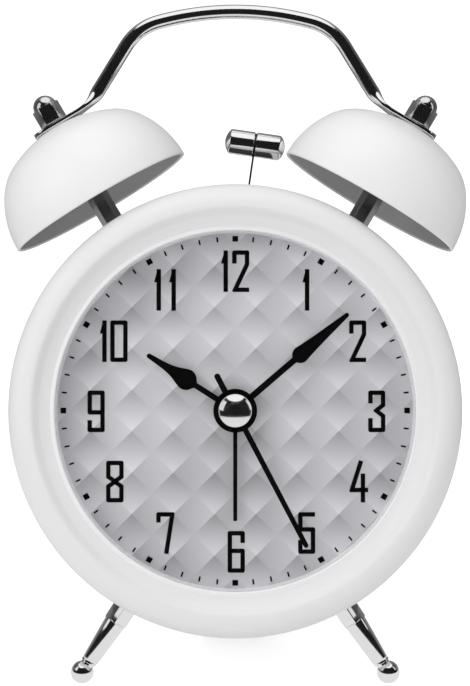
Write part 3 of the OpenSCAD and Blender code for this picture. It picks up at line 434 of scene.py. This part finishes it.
outside = bell_skin(0, bell_height)
inside = bell_skin(bell_wall, bell_height - bell_wall)
rolled_rim = arc((rim_radius - bell_wall / 2, 0), bell_wall / 2, 180, 360, 8)
for side, word in SIDES:
    bell = bmesh.new()
    join(bell, turned([inside[0]] + rolled_rim[1:-1] + outside, steps=160), on_bell(side))
    join(bell, turned(inside + [(stud_hole, bell_height)], steps=160), on_bell(side), finish=1)
    hand_over(bell, f"{word}_bell_cup", "case", [BELL_ENAMEL_WITH_PAINTED_LIGHT, BELL_INSIDE],
              [f"{word}_bell"])

# %% [markdown]
# ## Posts and cap nuts
# A hexagon pillar carries each bell, and a domed nut holds the bell and the handle's tab down on its
# stud. Hexagon stock has slightly broken edges that catch the light, so each prism is bevelled. The
# nut's dome is turned and stands on the hexagon.

# %% Posts and cap nuts
post_across, post_edge, post_sunk, stud_radius = 5.8, 0.25, 0.3, 1.5
stud_top, stud_end = bell_height + 2.5, -POST_LENGTH - 4
stud = [(0, stud_top), (stud_radius, stud_top), (stud_radius, stud_end), (0, stud_end)]
for side, word in SIDES:
    pillar = prism(6, post_across, -POST_LENGTH - post_sunk, bell_height - bell_wall, post_edge)
    post = bmesh.new()
    join(post, pillar, on_bell(side))
    join(post, turned(stud, steps=32), on_bell(side))
    hand_over(post, f"{word}_hexagon_post", "case", [POST_STEEL], [f"{word}_post"])

tab_room = 1.3
nut_base = bell_height + tab_room
nut_dome, nut_hexagon, nut_height, nut_across, nut_edge, dome_sunk = 3.1, 5.0, 7.8, 7.5, 0.3, 0.2
dome_profile = (
    [(0, nut_base + dome_sunk), (nut_dome, nut_base + dome_sunk)]
    + arc((0, nut_base + nut_height - nut_dome), nut_dome, 0, 90, 14)
)
nuts = bmesh.new()
for side, word in SIDES:
    join(nuts, prism(6, nut_across, nut_base, nut_base + nut_hexagon, nut_edge), on_bell(side))
    join(nuts, turned(dome_profile, steps=48), on_bell(side))
hand_over(nuts, "domed_nuts", "case", [NUT_STEEL], ["cap_nuts"])

# %% [markdown]
# ## Handle
# The carrying handle is one plated rod, bent over a form and hammered flat at both ends. It could be
# a curve with a bevel, but the flat ends need a section that changes, so rings of vertices are set
# on a row of stations and bridged. Each station says where the rod is, how thick and wide it is
# there, and how square its section has become.

# %% Lines of the handle
bell_axis = toward(BELL_TILT)
tab_way = toward(90 + BELL_TILT)
tab_thick, tab_wide, tab_reach, tab_power, rod_radius = 0.63, 3.6, 2.6, 0.3, 1.83
tab_seat = BELL_AT + (bell_height + tab_room / 2) * bell_axis
tip = tab_seat + (tab_reach + tab_wide) * tab_way
handle_rise, top_radius, top_half, leg_slope, bend_radius = 48.8, 75, 15.3, 31.5, 14
top_centre = Vector((0, BELL_AT.y + handle_rise - top_radius))
leg_way = toward(180 - leg_slope)
bend_centre = top_centre + (top_radius - bend_radius) * toward(top_half)
leg_start = bend_centre + bend_radius * toward(90 - leg_slope)
leg_run = (tab_seat - leg_start).dot(bell_axis) / leg_way.dot(bell_axis)
leg_end = leg_start + leg_run * leg_way
print("rod bends at", leg_start[:], leg_end[:])

# %% Handle stations
stations = []
for back in (0.02, 0.25, 0.7, 1.4, 2.4, 3.5):
    half = math.sqrt(max(0.02, tab_wide**2 - max(0, tab_wide - back) ** 2))
    stations.append((tip - back * tab_way, tab_thick, half, tab_power))
stations.append((tab_seat, tab_thick, tab_wide, tab_power))
kink_share, kink_run, flare_from = 0.68, 4.2, 0.3
kink_start = blend_value(tab_seat, leg_end, kink_share)
kink_end = leg_end - kink_run * leg_way
for k in range(13):
    t = k / 12
    place = blend_value(blend_value(kink_start, leg_end, t), blend_value(leg_end, kink_end, t), t)
    grown = smooth_step(max(0, (t - flare_from) / (1 - flare_from)))
    stations.append((place, blend_value(tab_thick, rod_radius, grown),
                     blend_value(tab_wide, rod_radius, grown), blend_value(tab_power, 1, grown)))
for x, y in arc(bend_centre, bend_radius, leg_slope, 90 - top_half, 20):
    stations.append((Vector((x, y)), rod_radius, rod_radius, 1))
for k in range(1, 17):
    place = top_centre + top_radius * toward(top_half * (1 - k / 16))
    stations.append((place, rod_radius, rod_radius, 1))
stations += [(Vector((-p.x, p.y)), a, b, e) for p, a, b, e in reversed(stations[:-1])]
print(len(stations), "stations")


# %% Handle
def squared(value, power):
    return math.copysign(abs(value) ** power, value)


def set_section(ring, k):
    """Moves a ring of vertices onto station k, square to the rod there."""
    place, thick, wide, power = stations[k]
    way = stations[min(k + 1, len(stations) - 1)][0] - stations[max(k - 1, 0)][0]
    across = Vector((-way.y, way.x)).normalized()
    for j, vert in enumerate(ring):
        turn = 2 * math.pi * j / len(ring)
        side = place + across * thick * squared(math.cos(turn), power)
        vert.co = (side.x, side.y, wide * squared(math.sin(turn), power) - BELL_BACK)


handle = bmesh.new()
before = []
for k in range(len(stations)):
    at_end = k in (0, len(stations) - 1)
    ring = bmesh.ops.create_circle(handle, cap_ends=at_end, segments=32, radius=1)["verts"]
    set_section(ring, k)
    edges = list({e for v in ring for e in v.link_edges})
    if before:
        bmesh.ops.bridge_loops(handle, edges=before + edges)
    before = edges
hand_over(handle, "carrying_handle", "case", [CHROME], ["handle"], crease=50)

# %% [markdown]
# ## Hammer
# The striker is a plated bar in two halves that pinch a thin spring strip between them, which leaves
# a fine line round its middle. Each half is turned lying down, and the strip stands edge-on to the
# viewer, so from the front it looks like a wire.

# %% Hammer head and strip
pivot_height, rest_swing, head_reach = 33.0, -8.2, 35.4
half_length, head_radius, end_rise, end_round, pinch_edge = 7.45, 3.2, 1.35, 0.2, 0.14
strip_size, strip_middle, strip_edge = (0.5, 27.5, 2.2), 24.45, 0.08
ON_HAMMER = (
    Matrix.Translation((0, pivot_height, -BELL_BACK))
    @ Matrix.Rotation(math.radians(rest_swing), 4, "Z")
)
ON_HEAD = ON_HAMMER @ Matrix.Translation((0, head_reach, 0))
end_ball = (head_radius**2 + end_rise**2) / (2 * end_rise)
end_half = math.degrees(math.asin(head_radius / end_ball))
half_profile = (
    [(0, 0), (head_radius - pinch_edge, 0), (head_radius, pinch_edge)]
    + [(head_radius, half_length - end_rise - end_round)]
    + arc((0, half_length - end_ball), end_ball, 90 - end_half + 2, 90, 10)
)
head = bmesh.new()
for side, word in SIDES:
    beside_strip = Matrix.Translation((0, 0, strip_size[0] / 2))
    lie_down = Matrix.Rotation(side * math.pi / 2, 4, "Y") @ beside_strip
    join(head, turned(half_profile, steps=64), ON_HEAD @ lie_down)
hand_over(head, "striker_head", "hammer", [CHROME], ["hammer_head"])

strip = bmesh.new()
bmesh.ops.create_cube(strip, size=1)
bmesh.ops.scale(strip, verts=strip.verts, vec=strip_size)
bmesh.ops.translate(strip, verts=strip.verts, vec=(0, strip_middle, 0))
soften(strip, strip_edge)
strip.transform(ON_HAMMER)
hand_over(strip, "striker_strip", "hammer", [SPRING_STEEL], ["hammer_strip"])

# %% [markdown]
# ## Legs
# Each leg is turned from bar: a ball foot, a neck with a small collar, a taper, and a square block
# left at the top where a spanner holds it. The turned part is a spin, the block a bevelled prism set
# edge-on to the front.

# %% Legs
leg_angle, leg_root, leg_length, leg_back = 33.5, 28.9, 24.0, 5
ball_radius, block_across, block_edge, block_start, block_sunk = 2.9, 6.2, 0.25, 14.9, 0.6
FOOT_AT = DRUM_RADIUS * toward(180 - leg_root) + leg_length * toward(180 - leg_angle)
collar = [(1.75, 2.75), (2.05, 2.9), (2.05, 3.3), (1.95, 3.45)]
taper = [(2.15, 3.8), (2.8, 15), (0, 15)]
leg_profile = arc((0, 0), ball_radius, -90, 52, 18) + collar + taper
for side, word in SIDES:
    on_leg = (
        Matrix.Translation((side * FOOT_AT.x, FOOT_AT.y, -leg_back))
        @ Matrix.Rotation(math.radians(side * leg_angle), 4, "Z")
        @ Matrix.Rotation(-math.pi / 2, 4, "X")
    )
    leg = bmesh.new()
    join(leg, turned(leg_profile, steps=64), on_leg)
    join(leg, prism(4, block_across, block_start, leg_length + block_sunk, block_edge), on_leg)
    hand_over(leg, f"{word}_turned_leg", "case", [CHROME], [f"{word}_leg"])

# %% [markdown]
# ## Dial
# The dial is a thin printed disc, and its quilted look is print, so it is made in the material and
# not in the mesh. In the two diagonal directions every diamond is a unit square: the fractions of the
# two diagonal coordinates say where a point lies in its diamond, and the sum of their whole parts is
# odd in every second diamond. The odd ones fade from a dark top corner to a bright bottom corner, and
# the even ones fade a little from left to right. A broad noise adds the sheen of the sheet, and a
# radial fade paints shade on the edge, where the bezel overhangs the dial.

# %% Flat coordinates for the print
DIAL_PRINT = new_finish("quilted_print", (0.5, 0.5, 0.52), 0.45, 0.08, 1200, 0.005)
tree = DIAL_PRINT.node_tree
place = tree.nodes.new("ShaderNodeTexCoord").outputs["Object"]
flat = tree.nodes.new("ShaderNodeMapping")
flat.vector_type = "TEXTURE"
flat.inputs["Location"].default_value = DIAL_CENTRE
flat.inputs["Rotation"].default_value = (math.pi / 2 - LEAN, 0, 0)
flat.inputs["Scale"].default_value = (MM, MM, MM)
split = tree.nodes.new("ShaderNodeSeparateXYZ")
tree.links.new(place, flat.inputs["Vector"])
tree.links.new(flat.outputs["Vector"], split.inputs["Vector"])
across, up = split.outputs["X"], split.outputs["Y"]

# %% The quilt
period, odd_depth, even_depth = 10.35, 0.22, 0.1
rising = chain(tree, "DIVIDE", chain(tree, "ADD", across, up), period)
falling = chain(tree, "DIVIDE", chain(tree, "SUBTRACT", up, across), period)
part_s, part_t = chain(tree, "FRACT", rising), chain(tree, "FRACT", falling)
whole = chain(tree, "ADD", chain(tree, "FLOOR", rising), chain(tree, "FLOOR", falling))
odd = chain(tree, "FLOORED_MODULO", whole, 2.0)
even = chain(tree, "SUBTRACT", 1.0, odd)
fade_down = chain(tree, "SUBTRACT", 1.0, chain(tree, "ADD", part_s, part_t))
fade_right = chain(tree, "SUBTRACT", part_s, part_t)
odd_print = chain(tree, "MULTIPLY", chain(tree, "MULTIPLY", fade_down, odd_depth), odd)
even_print = chain(tree, "MULTIPLY", chain(tree, "MULTIPLY", fade_right, even_depth), even)
quilt = chain(tree, "ADD", odd_print, even_print)
print(len(tree.nodes), "nodes in the quilt")

# %% Sheen, painted edge shade and colour of the print
sheen_scale, sheen_depth, darkest = 26, 0.36, 0.45
rim_shade_radius, rim_shade_power, rim_shade_depth = 45.0, 3.0, -0.04
green_share, blue_share = 0.985, 1.04
sheen = tree.nodes.new("ShaderNodeTexNoise")
sheen.inputs["Scale"].default_value = sheen_scale
sheen.inputs["Detail"].default_value = 1
tree.links.new(place, sheen.inputs["Vector"])
base = chain(tree, "MULTIPLY_ADD", sheen.outputs["Fac"], sheen_depth, darkest)
across_squared = chain(tree, "MULTIPLY", across, across)
up_squared = chain(tree, "MULTIPLY", up, up)
radius = chain(tree, "SQRT", chain(tree, "ADD", across_squared, up_squared))
# Painted shade: the print is darkened towards the rim, where the bezel overhangs the dial.
outward = chain(tree, "POWER", chain(tree, "DIVIDE", radius, rim_shade_radius), rim_shade_power)
painted_rim_shade = chain(tree, "MULTIPLY", outward, rim_shade_depth)
level = chain(tree, "ADD", chain(tree, "ADD", quilt, base), painted_rim_shade)
print_colour = tree.nodes.new("ShaderNodeCombineColor")
tree.links.new(level, print_colour.inputs["Red"])
tree.links.new(chain(tree, "MULTIPLY", level, green_share), print_colour.inputs["Green"])
tree.links.new(chain(tree, "MULTIPLY", level, blue_share), print_colour.inputs["Blue"])
tree.links.new(print_colour.outputs["Color"], tree.nodes["Principled BSDF"].inputs["Base Color"])

# %% Dial disc
hole, rim, thick = 3.9, 50.3, 0.6
disc = turned([(hole, 0), (rim, 0), (rim, -thick), (hole, -thick)], closed=True)
hand_over(disc, "dial_disc", "case", [DIAL_PRINT], ["dial"])

# %% [markdown]
# ## Hour numbers and minute marks
# The numbers are a narrow, squared letter of even stroke. Each digit is one or two bent lines, so an
# edge as long as the stroke is wide is extruded along each line and set on the mitre at every bend.
# Outer corners are then rounded with a vertex bevel, and the flat print gets a hair of thickness.

# %% Digits as bent lines
STROKE, DIGIT_HEIGHT = 1.12, 10.4
six = [(1.6, 7.4), (1.6, 9.85), (-1.6, 9.85), (-1.6, 0.55), (1.6, 0.55), (1.6, 5.45), (-1.2, 5.45)]
DIGITS = {
    "0": [[(0, 0.55), (1.62, 0.55), (1.62, 9.85), (-1.62, 9.85), (-1.62, 0.55), (0, 0.55)]],
    "1": [[(0, 0), (0, DIGIT_HEIGHT)]],
    "2": [[(-1.58, 7.1), (-1.58, 9.85), (1.58, 9.85), (1.58, 6.9), (-1.42, 0.53), (2.12, 0.53)]],
    "3": [[(-1.58, 7.2), (-1.58, 9.85), (1.58, 9.85), (1.58, 6.75), (-0.15, 5.4), (1.58, 4.05),
           (1.58, 0.55), (-1.58, 0.55), (-1.58, 3.5)]],
    "4": [[(0.62, DIGIT_HEIGHT), (-1.72, 3.1), (2.4, 3.1)], [(1.08, 7.2), (1.08, 0)]],
    "5": [[(2.1, 9.85), (-1.58, 9.85), (-1.58, 6.1), (1.58, 6.1), (1.58, 0.55), (-1.58, 0.55),
           (-1.58, 3.5)]],
    "6": [six],
    "7": [[(-1.75, 7.8), (-1.75, 9.85), (1.72, 9.85), (0.2, 0)]],
    "8": [[(0, 5.25), (-1.64, 6.4), (-1.64, 9.85), (1.64, 9.85), (1.64, 6.4), (0, 5.25)],
          [(0, 5.15), (1.64, 4.0), (1.64, 0.55), (-1.64, 0.55), (-1.64, 4.0), (0, 5.15)]],
    "9": [[(-x, DIGIT_HEIGHT - y) for x, y in six]],
}
ONE_FLAG = [(-0.3, DIGIT_HEIGHT), (-1.18, 7.1), (-0.5, 7.1), (-0.3, 7.1)]
HOURS = {
    1: [("1", 0.44)], 2: [("2", 0.25)], 3: [("3", 0.3)], 4: [("4", 0.45)], 5: [("5", 0.3)],
    6: [("6", 0.25)], 7: [("7", 0.1)], 8: [("8", 0.3)], 9: [("9", 0.3)],
    10: [("1", -2.34), ("0", 1.28)], 11: [("1", -1.6), ("1", 2.14)], 12: [("1", -2.39), ("2", 1.37)],
}
print(len(DIGITS), "digits")

# %% Drawing a stroke
PRINT_TOP, PRINT_THICK = 0.04, 0.035
LONGEST_MITRE, SQUARE_BEND = 0.35, math.radians(70)


def mitre(line, k):
    """Sideways step at point k that keeps the stroke even through the bend."""
    before = line[k] - line[k - 1] if k else line[1] - line[0]
    after = line[k + 1] - line[k] if k + 1 < len(line) else before
    n1 = Vector((-before.y, before.x)).normalized()
    n2 = Vector((-after.y, after.x)).normalized()
    middle = (n1 + n2).normalized()
    return middle * (STROKE / 2 / max(LONGEST_MITRE, middle.dot(n1)))


def grow(bm, edge, pair, ends):
    """Extrudes the edge between pair to the two end points; gives the new edge and vertices."""
    made = bmesh.ops.extrude_edge_only(bm, edges=[edge])["geom"]
    lines = [g for g in made if isinstance(g, bmesh.types.BMEdge)]
    edge = next(e for e in lines if not set(e.verts) & set(pair))
    linked = []
    for vert, end in zip(pair, ends):
        others = [e.other_vert(vert) for e in vert.link_edges]
        linked.append(next(v for v in others if v in edge.verts))
        linked[-1].co = (*end, PRINT_TOP)
    return edge, linked


def stroke(bm, points, move):
    """Draws one bent line; gives back the vertices on its outer corners."""
    line = [Vector(point) for point in points]
    pair, corners = [], []
    for k, point in enumerate(line):
        step = mitre(line, k)
        ends = [point + move + step, point + move - step]
        if not pair:
            pair = [bm.verts.new((*end, PRINT_TOP)) for end in ends]
            edge = bm.edges.new(pair)
            continue
        edge, pair = grow(bm, edge, pair, ends)
        if k + 1 < len(line):
            turn = (point - line[k - 1]).angle_signed(line[k + 1] - point)
            if abs(turn) > SQUARE_BEND:
                corners.append(pair[0] if turn > 0 else pair[1])
    return corners


# %% Hour numbers
number_ring, number_drop, corner_round = 35.1, 5.4, 0.55
marks = bmesh.new()
outer_corners = []
for hour, letters in HOURS.items():
    foot = number_ring * toward(30 * hour) - Vector((0, number_drop))
    for letter, offset in letters:
        move = foot + Vector((offset, 0))
        for line in DIGITS[letter]:
            outer_corners += stroke(marks, line, move)
        if letter == "1":
            marks.faces.new([marks.verts.new((*(Vector(p) + move), PRINT_TOP)) for p in ONE_FLAG])
bmesh.ops.bevel(marks, geom=outer_corners, offset=corner_round, segments=4, profile=0.5,
                affect="VERTICES", material=-1, clamp_overlap=True)
print(len(outer_corners), "rounded corners")

# %% Hour squares and minute ticks
mark_ring, hour_mark, minute_mark = 43.0, (1.42, 1.42, 1), (0.44, 1.3, 1)
for minute in range(60):
    mark = bmesh.new()
    bmesh.ops.create_grid(mark, x_segments=1, y_segments=1, size=0.5)
    bmesh.ops.scale(mark, verts=mark.verts, vec=minute_mark if minute % 5 else hour_mark)
    bmesh.ops.translate(mark, verts=mark.verts, vec=(0, mark_ring, PRINT_TOP))
    join(marks, mark, Matrix.Rotation(math.radians(-6 * minute), 4, "Z"))
bmesh.ops.recalc_face_normals(marks, faces=marks.faces)
for face in marks.faces:
    if face.normal.z < 0:
        face.normal_flip()
bmesh.ops.solidify(marks, geom=list(marks.faces), thickness=PRINT_THICK)
hand_over(marks, "dial_marks", "case", [PRINT_BLACK])

# %% [markdown]
# ## Hands
# Hands are stamped from thin black sheet. Each is drawn as half widths along its length, filled,
# given the sheet's thickness and a tiny edge radius. The hour hand has a round bulb that draws out
# to a needle, the minute hand a longer leaf, and the second hand is a plain rounded bar.

# %% Stamping a hand
SHEET, SHEET_EDGE = 0.4, 0.06


def stamped(steps, turn, hub, height):
    """Fills the outline made by [distance, half width] steps and presses it out of sheet."""
    bm = bmesh.new()
    right = [bm.verts.new((w, d, 0)) for d, w in steps]
    left = [bm.verts.new((-w, d, 0)) for d, w in reversed(steps)]
    bm.faces.new(right + left)
    aim = Matrix.Rotation(-math.radians(turn), 3, "Z")
    bmesh.ops.rotate(bm, verts=bm.verts, cent=(0, 0, 0), matrix=aim)
    grown = bmesh.ops.extrude_face_region(bm, geom=list(bm.faces))["geom"]
    raised = [g for g in grown if isinstance(g, bmesh.types.BMVert)]
    bmesh.ops.translate(bm, verts=raised, vec=(0, 0, SHEET))
    bmesh.ops.recalc_face_normals(bm, faces=bm.faces)
    soften(bm, SHEET_EDGE, segments=1, angle=50)
    boss = [(0, 0), (hub, 0), (hub, SHEET - SHEET_EDGE), (hub - SHEET_EDGE, SHEET), (0, SHEET)]
    join(bm, turned(boss, steps=72))
    bmesh.ops.translate(bm, verts=bm.verts, vec=(0, 0, height))
    return bm


def round_end(distance, half, way):
    """Half circle that closes a bar, as [distance, half width] steps."""
    angles = [math.radians(15 * k) for k in range(6)]
    steps = [(distance + way * half * math.sin(a), half * math.cos(a)) for a in angles]
    return steps if way > 0 else steps[::-1]


def bulb(distance, radius, first):
    """The swelling behind a leaf, from angle first to a little past its widest point."""
    angles = [math.radians(a) for a in range(first, 110, 10)]
    return [(distance - radius * math.cos(a), radius * math.sin(a)) for a in angles]


# %% Hour, minute, second and alarm hands
hour_steps = (
    [(0, 0.72), (11.75, 0.72), (11.95, 1.0)]
    + bulb(14.5, 2.65, 30)
    + [(15.9, 2.28), (16.8, 1.92), (17.8, 1.55), (19.0, 1.22), (20.4, 0.98), (22.0, 0.82), (24.0, 0.7)]
    + round_end(25.4, 0.6, 1)
)
minute_steps = (
    [(0, 0.8), (19.4, 0.8), (19.6, 1.1)]
    + bulb(21.4, 2.1, 40)
    + [(23.2, 1.85), (26.0, 1.5)]
    + round_end(36.55, 0.55, 1)
)
second_steps = round_end(-9.6, 0.74, -1) + round_end(37.7, 0.62, 1)
alarm_steps = [(0, 0.52), (27.3, 0.5), (27.5, 0.3)]
# Each row: outline, degrees from twelve, hub radius, height above the dial.
HANDS = {
    "alarm": (alarm_steps, 180, 4.45, 2.1),
    "hour": (hour_steps, 302.4, 4.85, 2.9),
    "minute": (minute_steps, 49.4, 5.45, 3.7),
    "second": (second_steps, 152.3, 4.0, 4.5),
}
for body, shape in HANDS.items():
    hand_over(stamped(*shape), f"{body}_pointer", body, [HAND_BLACK], [f"{body}_hand"])

# %% [markdown]
# A plated dome closes the hub. It is a shallow cap of a ball, turned like the rest, and it turns with
# the second hand.

# %% Hub dome
cap_rise, cap_radius, cap_foot = 1.6, 4.12, 4.9
cap_ball = (cap_radius**2 + cap_rise**2) / (2 * cap_rise)
cap_half = math.degrees(math.asin(cap_radius / cap_ball))
cap_arc = arc((0, cap_foot + cap_rise - cap_ball), cap_ball, 90 - cap_half, 90, 24)
hand_over(turned([(0, cap_foot)] + cap_arc, steps=96), "hub_dome", "second", [CHROME],
          ["hub_cap"])

# %% [markdown]
# ## Studio
# A pale floor and an even white surround, as for a catalogue picture. They show white to the camera,
# while the lamps and a weaker ambient light decide how bright the clock is. Plated metal only looks
# like metal when it has something dark to mirror, so a dark room with a bright table top and two
# bright panels stands round the clock, where only reflections and the lens see it. A small dark sheet
# lies on the drum under the hammer as painted shade, so the hammer's underside mirrors a dark drum
# top.


# %% Tools for the studio
def stage_piece(name, bm, finish, hidden_from=()):
    """Adds a piece of the studio that the named kinds of ray don't see."""
    mesh = bpy.data.meshes.new(name)
    bm.to_mesh(mesh)
    bm.free()
    mesh.materials.append(finish)
    piece = bpy.data.objects.new(name, mesh)
    bpy.context.collection.objects.link(piece)
    for ray in hidden_from:
        setattr(piece, f"visible_{ray}", False)
    print(name, "in the studio")


def plain_sheet(size, at, turn=Matrix.Identity(4)):
    """A flat sheet, sizes in metres."""
    bm = bmesh.new()
    bmesh.ops.create_grid(bm, x_segments=1, y_segments=1, size=0.5)
    bmesh.ops.scale(bm, verts=bm.verts, vec=(*size, 1))
    bm.transform(Matrix.Translation(at) @ turn)
    return bm


def seen_directly(tree):
    """1 for rays from the camera, from gloss and through glass."""
    path = tree.nodes.new("ShaderNodeLightPath")
    first = chain(tree, "MAXIMUM", path.outputs["Is Camera Ray"], path.outputs["Is Glossy Ray"])
    return chain(tree, "MAXIMUM", first, path.outputs["Is Transmission Ray"])


def ramp(tree, value, start, end, low, high):
    """Map Range node from [start, end] to [low, high]; gives back its output."""
    node = tree.nodes.new("ShaderNodeMapRange")
    names = ("From Min", "From Max", "To Min", "To Max")
    for socket, number in zip(names, (start, end, low, high)):
        node.inputs[socket].default_value = number
    tree.links.new(value, node.inputs["Value"])
    return node.outputs["Result"]


# %% Floor and world
WHITE, BLACK = (1, 1, 1, 1), (0, 0, 0, 1)
floor_glow, ambient = 0.62, 0.55
floor_finish = plain_finish("pale_floor", {
    "Base Color": (0.85, 0.85, 0.85, 1), "Roughness": 0.9, "Specular IOR Level": 0,
    "Emission Color": WHITE,
})
floor_tree = floor_finish.node_tree
glow = chain(floor_tree, "MULTIPLY", seen_directly(floor_tree), floor_glow)
floor_tree.links.new(glow, floor_tree.nodes["Principled BSDF"].inputs["Emission Strength"])
stage_piece("floor", plain_sheet((8, 8), (0, 0, -0.0002)), floor_finish)

world = bpy.data.worlds.new("white_surround")
bpy.context.scene.world = world
world.use_nodes = True
background = world.node_tree.nodes["Background"]
background.inputs["Color"].default_value = WHITE
seen = seen_directly(world.node_tree)
lit = chain(world.node_tree, "MULTIPLY_ADD", seen, 1 - ambient, ambient)
world.node_tree.links.new(lit, background.inputs["Strength"])

# %% Light in the room that only reflections see
wall_from, wall_to, wall_dark, wall_pale = -0.1, 0.7, 0.012, 0.32
table_from, table_to, table_light = 0.2, 0.27, 0.8
panel_left, panel_right, panel_front, panel_light = -0.25, 0.285, -0.025, 0.8
above_table, inside_walls = 0.05, 0.6
room_finish = plain_finish("reflected_wall", {
    "Base Color": BLACK, "Specular IOR Level": 0, "Emission Color": WHITE,
})
tree = room_finish.node_tree
place = tree.nodes.new("ShaderNodeTexCoord").outputs["Object"]
split = tree.nodes.new("ShaderNodeSeparateXYZ")
tree.links.new(place, split.inputs["Vector"])
length = tree.nodes.new("ShaderNodeVectorMath")
length.operation = "LENGTH"
tree.links.new(place, length.inputs[0])
from_middle = length.outputs["Value"]

walls = ramp(tree, split.outputs["Y"], wall_from, wall_to, wall_dark, wall_pale)
table = ramp(tree, from_middle, table_from, table_to, table_light, 0)
on_left = chain(tree, "LESS_THAN", split.outputs["X"], panel_left)
on_right = chain(tree, "GREATER_THAN", split.outputs["X"], panel_right)
in_front = chain(tree, "LESS_THAN", split.outputs["Y"], panel_front)
raised = chain(tree, "GREATER_THAN", split.outputs["Z"], above_table)
near = chain(tree, "LESS_THAN", from_middle, inside_walls)
on_side = chain(tree, "MULTIPLY", chain(tree, "MAXIMUM", on_left, on_right), in_front)
on_panel = chain(tree, "MULTIPLY", chain(tree, "MULTIPLY", on_side, near), raised)
panels = chain(tree, "MULTIPLY", on_panel, panel_light)
mirrored = chain(tree, "MAXIMUM", chain(tree, "MAXIMUM", walls, panels), table)
tree.links.new(mirrored, tree.nodes["Principled BSDF"].inputs["Emission Strength"])

# %% The room and the flag
room_radius, room_height, table_height = 1.0, 1.6, 0.0001
panel_radius, panel_low, panel_high = 0.3, 0.1, 0.36
flag_size, flag_at = (0.024, 0.02), CLOCK @ Vector((-2, 53.5, -15))
room_profile = [(0, table_height), (room_radius, table_height), (room_radius, room_height)]
room = turned(room_profile, steps=64)
join(room, turned([(panel_radius, panel_low), (panel_radius, panel_high)], steps=64))
stage_piece("reflected_surround", room, room_finish, ("camera", "diffuse", "shadow"))
# Painted shade: a black sheet on the drum under the hammer that stands in for the shade there and is
# seen only in reflections.
flag = plain_sheet(flag_size, flag_at, Matrix.Rotation(-LEAN, 4, "X"))
stage_piece("painted_shade_flag", flag, BLACK_PLASTIC_AND_SHADE, ("camera", "diffuse", "shadow", "transmission"))

# %% [markdown]
# ## Lamps
# Wide soft lamps light the enamel: the strongest from the upper left, weak ones from low in front and
# from the right, one above and one behind. Reflections don't see them, so the plating shows the room
# and not five white squares.

# %% Lamps
target = CLOCK @ Vector((-0.06, 16.9, 0))
# Each row: place, size and watts.
LAMPS = {
    "key_left": ((-0.8, -0.7, 0.7), (0.7, 0.7), 3.0),
    "low_front": ((-0.2, -1.0, 0.14), (0.9, 0.26), 0.9),
    "fill_right": ((0.8, -0.8, 0.35), (0.6, 0.6), 0.5),
    "top": ((0, -0.1, 1.0), (0.7, 0.5), 2.0),
    "back": ((0, 0.9, 0.7), (0.8, 0.5), 1.0),
}
for name, (at, size, watts) in LAMPS.items():
    light = bpy.data.lights.new(name, "AREA")
    light.shape = "RECTANGLE"
    light.size, light.size_y = size
    light.energy = watts
    lamp = bpy.data.objects.new(name, light)
    lamp.location = at
    lamp.rotation_euler = (target - Vector(at)).to_track_quat("-Z", "Y").to_euler()
    lamp.visible_glossy = False
    bpy.context.collection.objects.link(lamp)
print(len(LAMPS), "lamps")

# %% [markdown]
# ## Camera
# The picture was taken nearly square to the dial. Sixty centimetres gives the same amount of
# perspective, and the lens is as long as it has to be for the clock to fill the picture from there.

# %% Camera
elevation, distance, view_height, sensor = math.radians(12.9), 0.6, 0.1717, 24
camera = bpy.data.cameras.new("camera")
camera.sensor_fit = "VERTICAL"
camera.sensor_height = sensor
camera.lens = sensor * distance / view_height
viewer = bpy.data.objects.new("camera", camera)
viewer.location = target + distance * Vector((0, -math.cos(elevation), math.sin(elevation)))
viewer.rotation_euler = (target - viewer.location).to_track_quat("-Z", "Y").to_euler()
bpy.context.collection.objects.link(viewer)
bpy.context.scene.camera = viewer
bpy.context.scene.view_settings.view_transform = "Standard"
print("lens", round(camera.lens, 1), "mm")
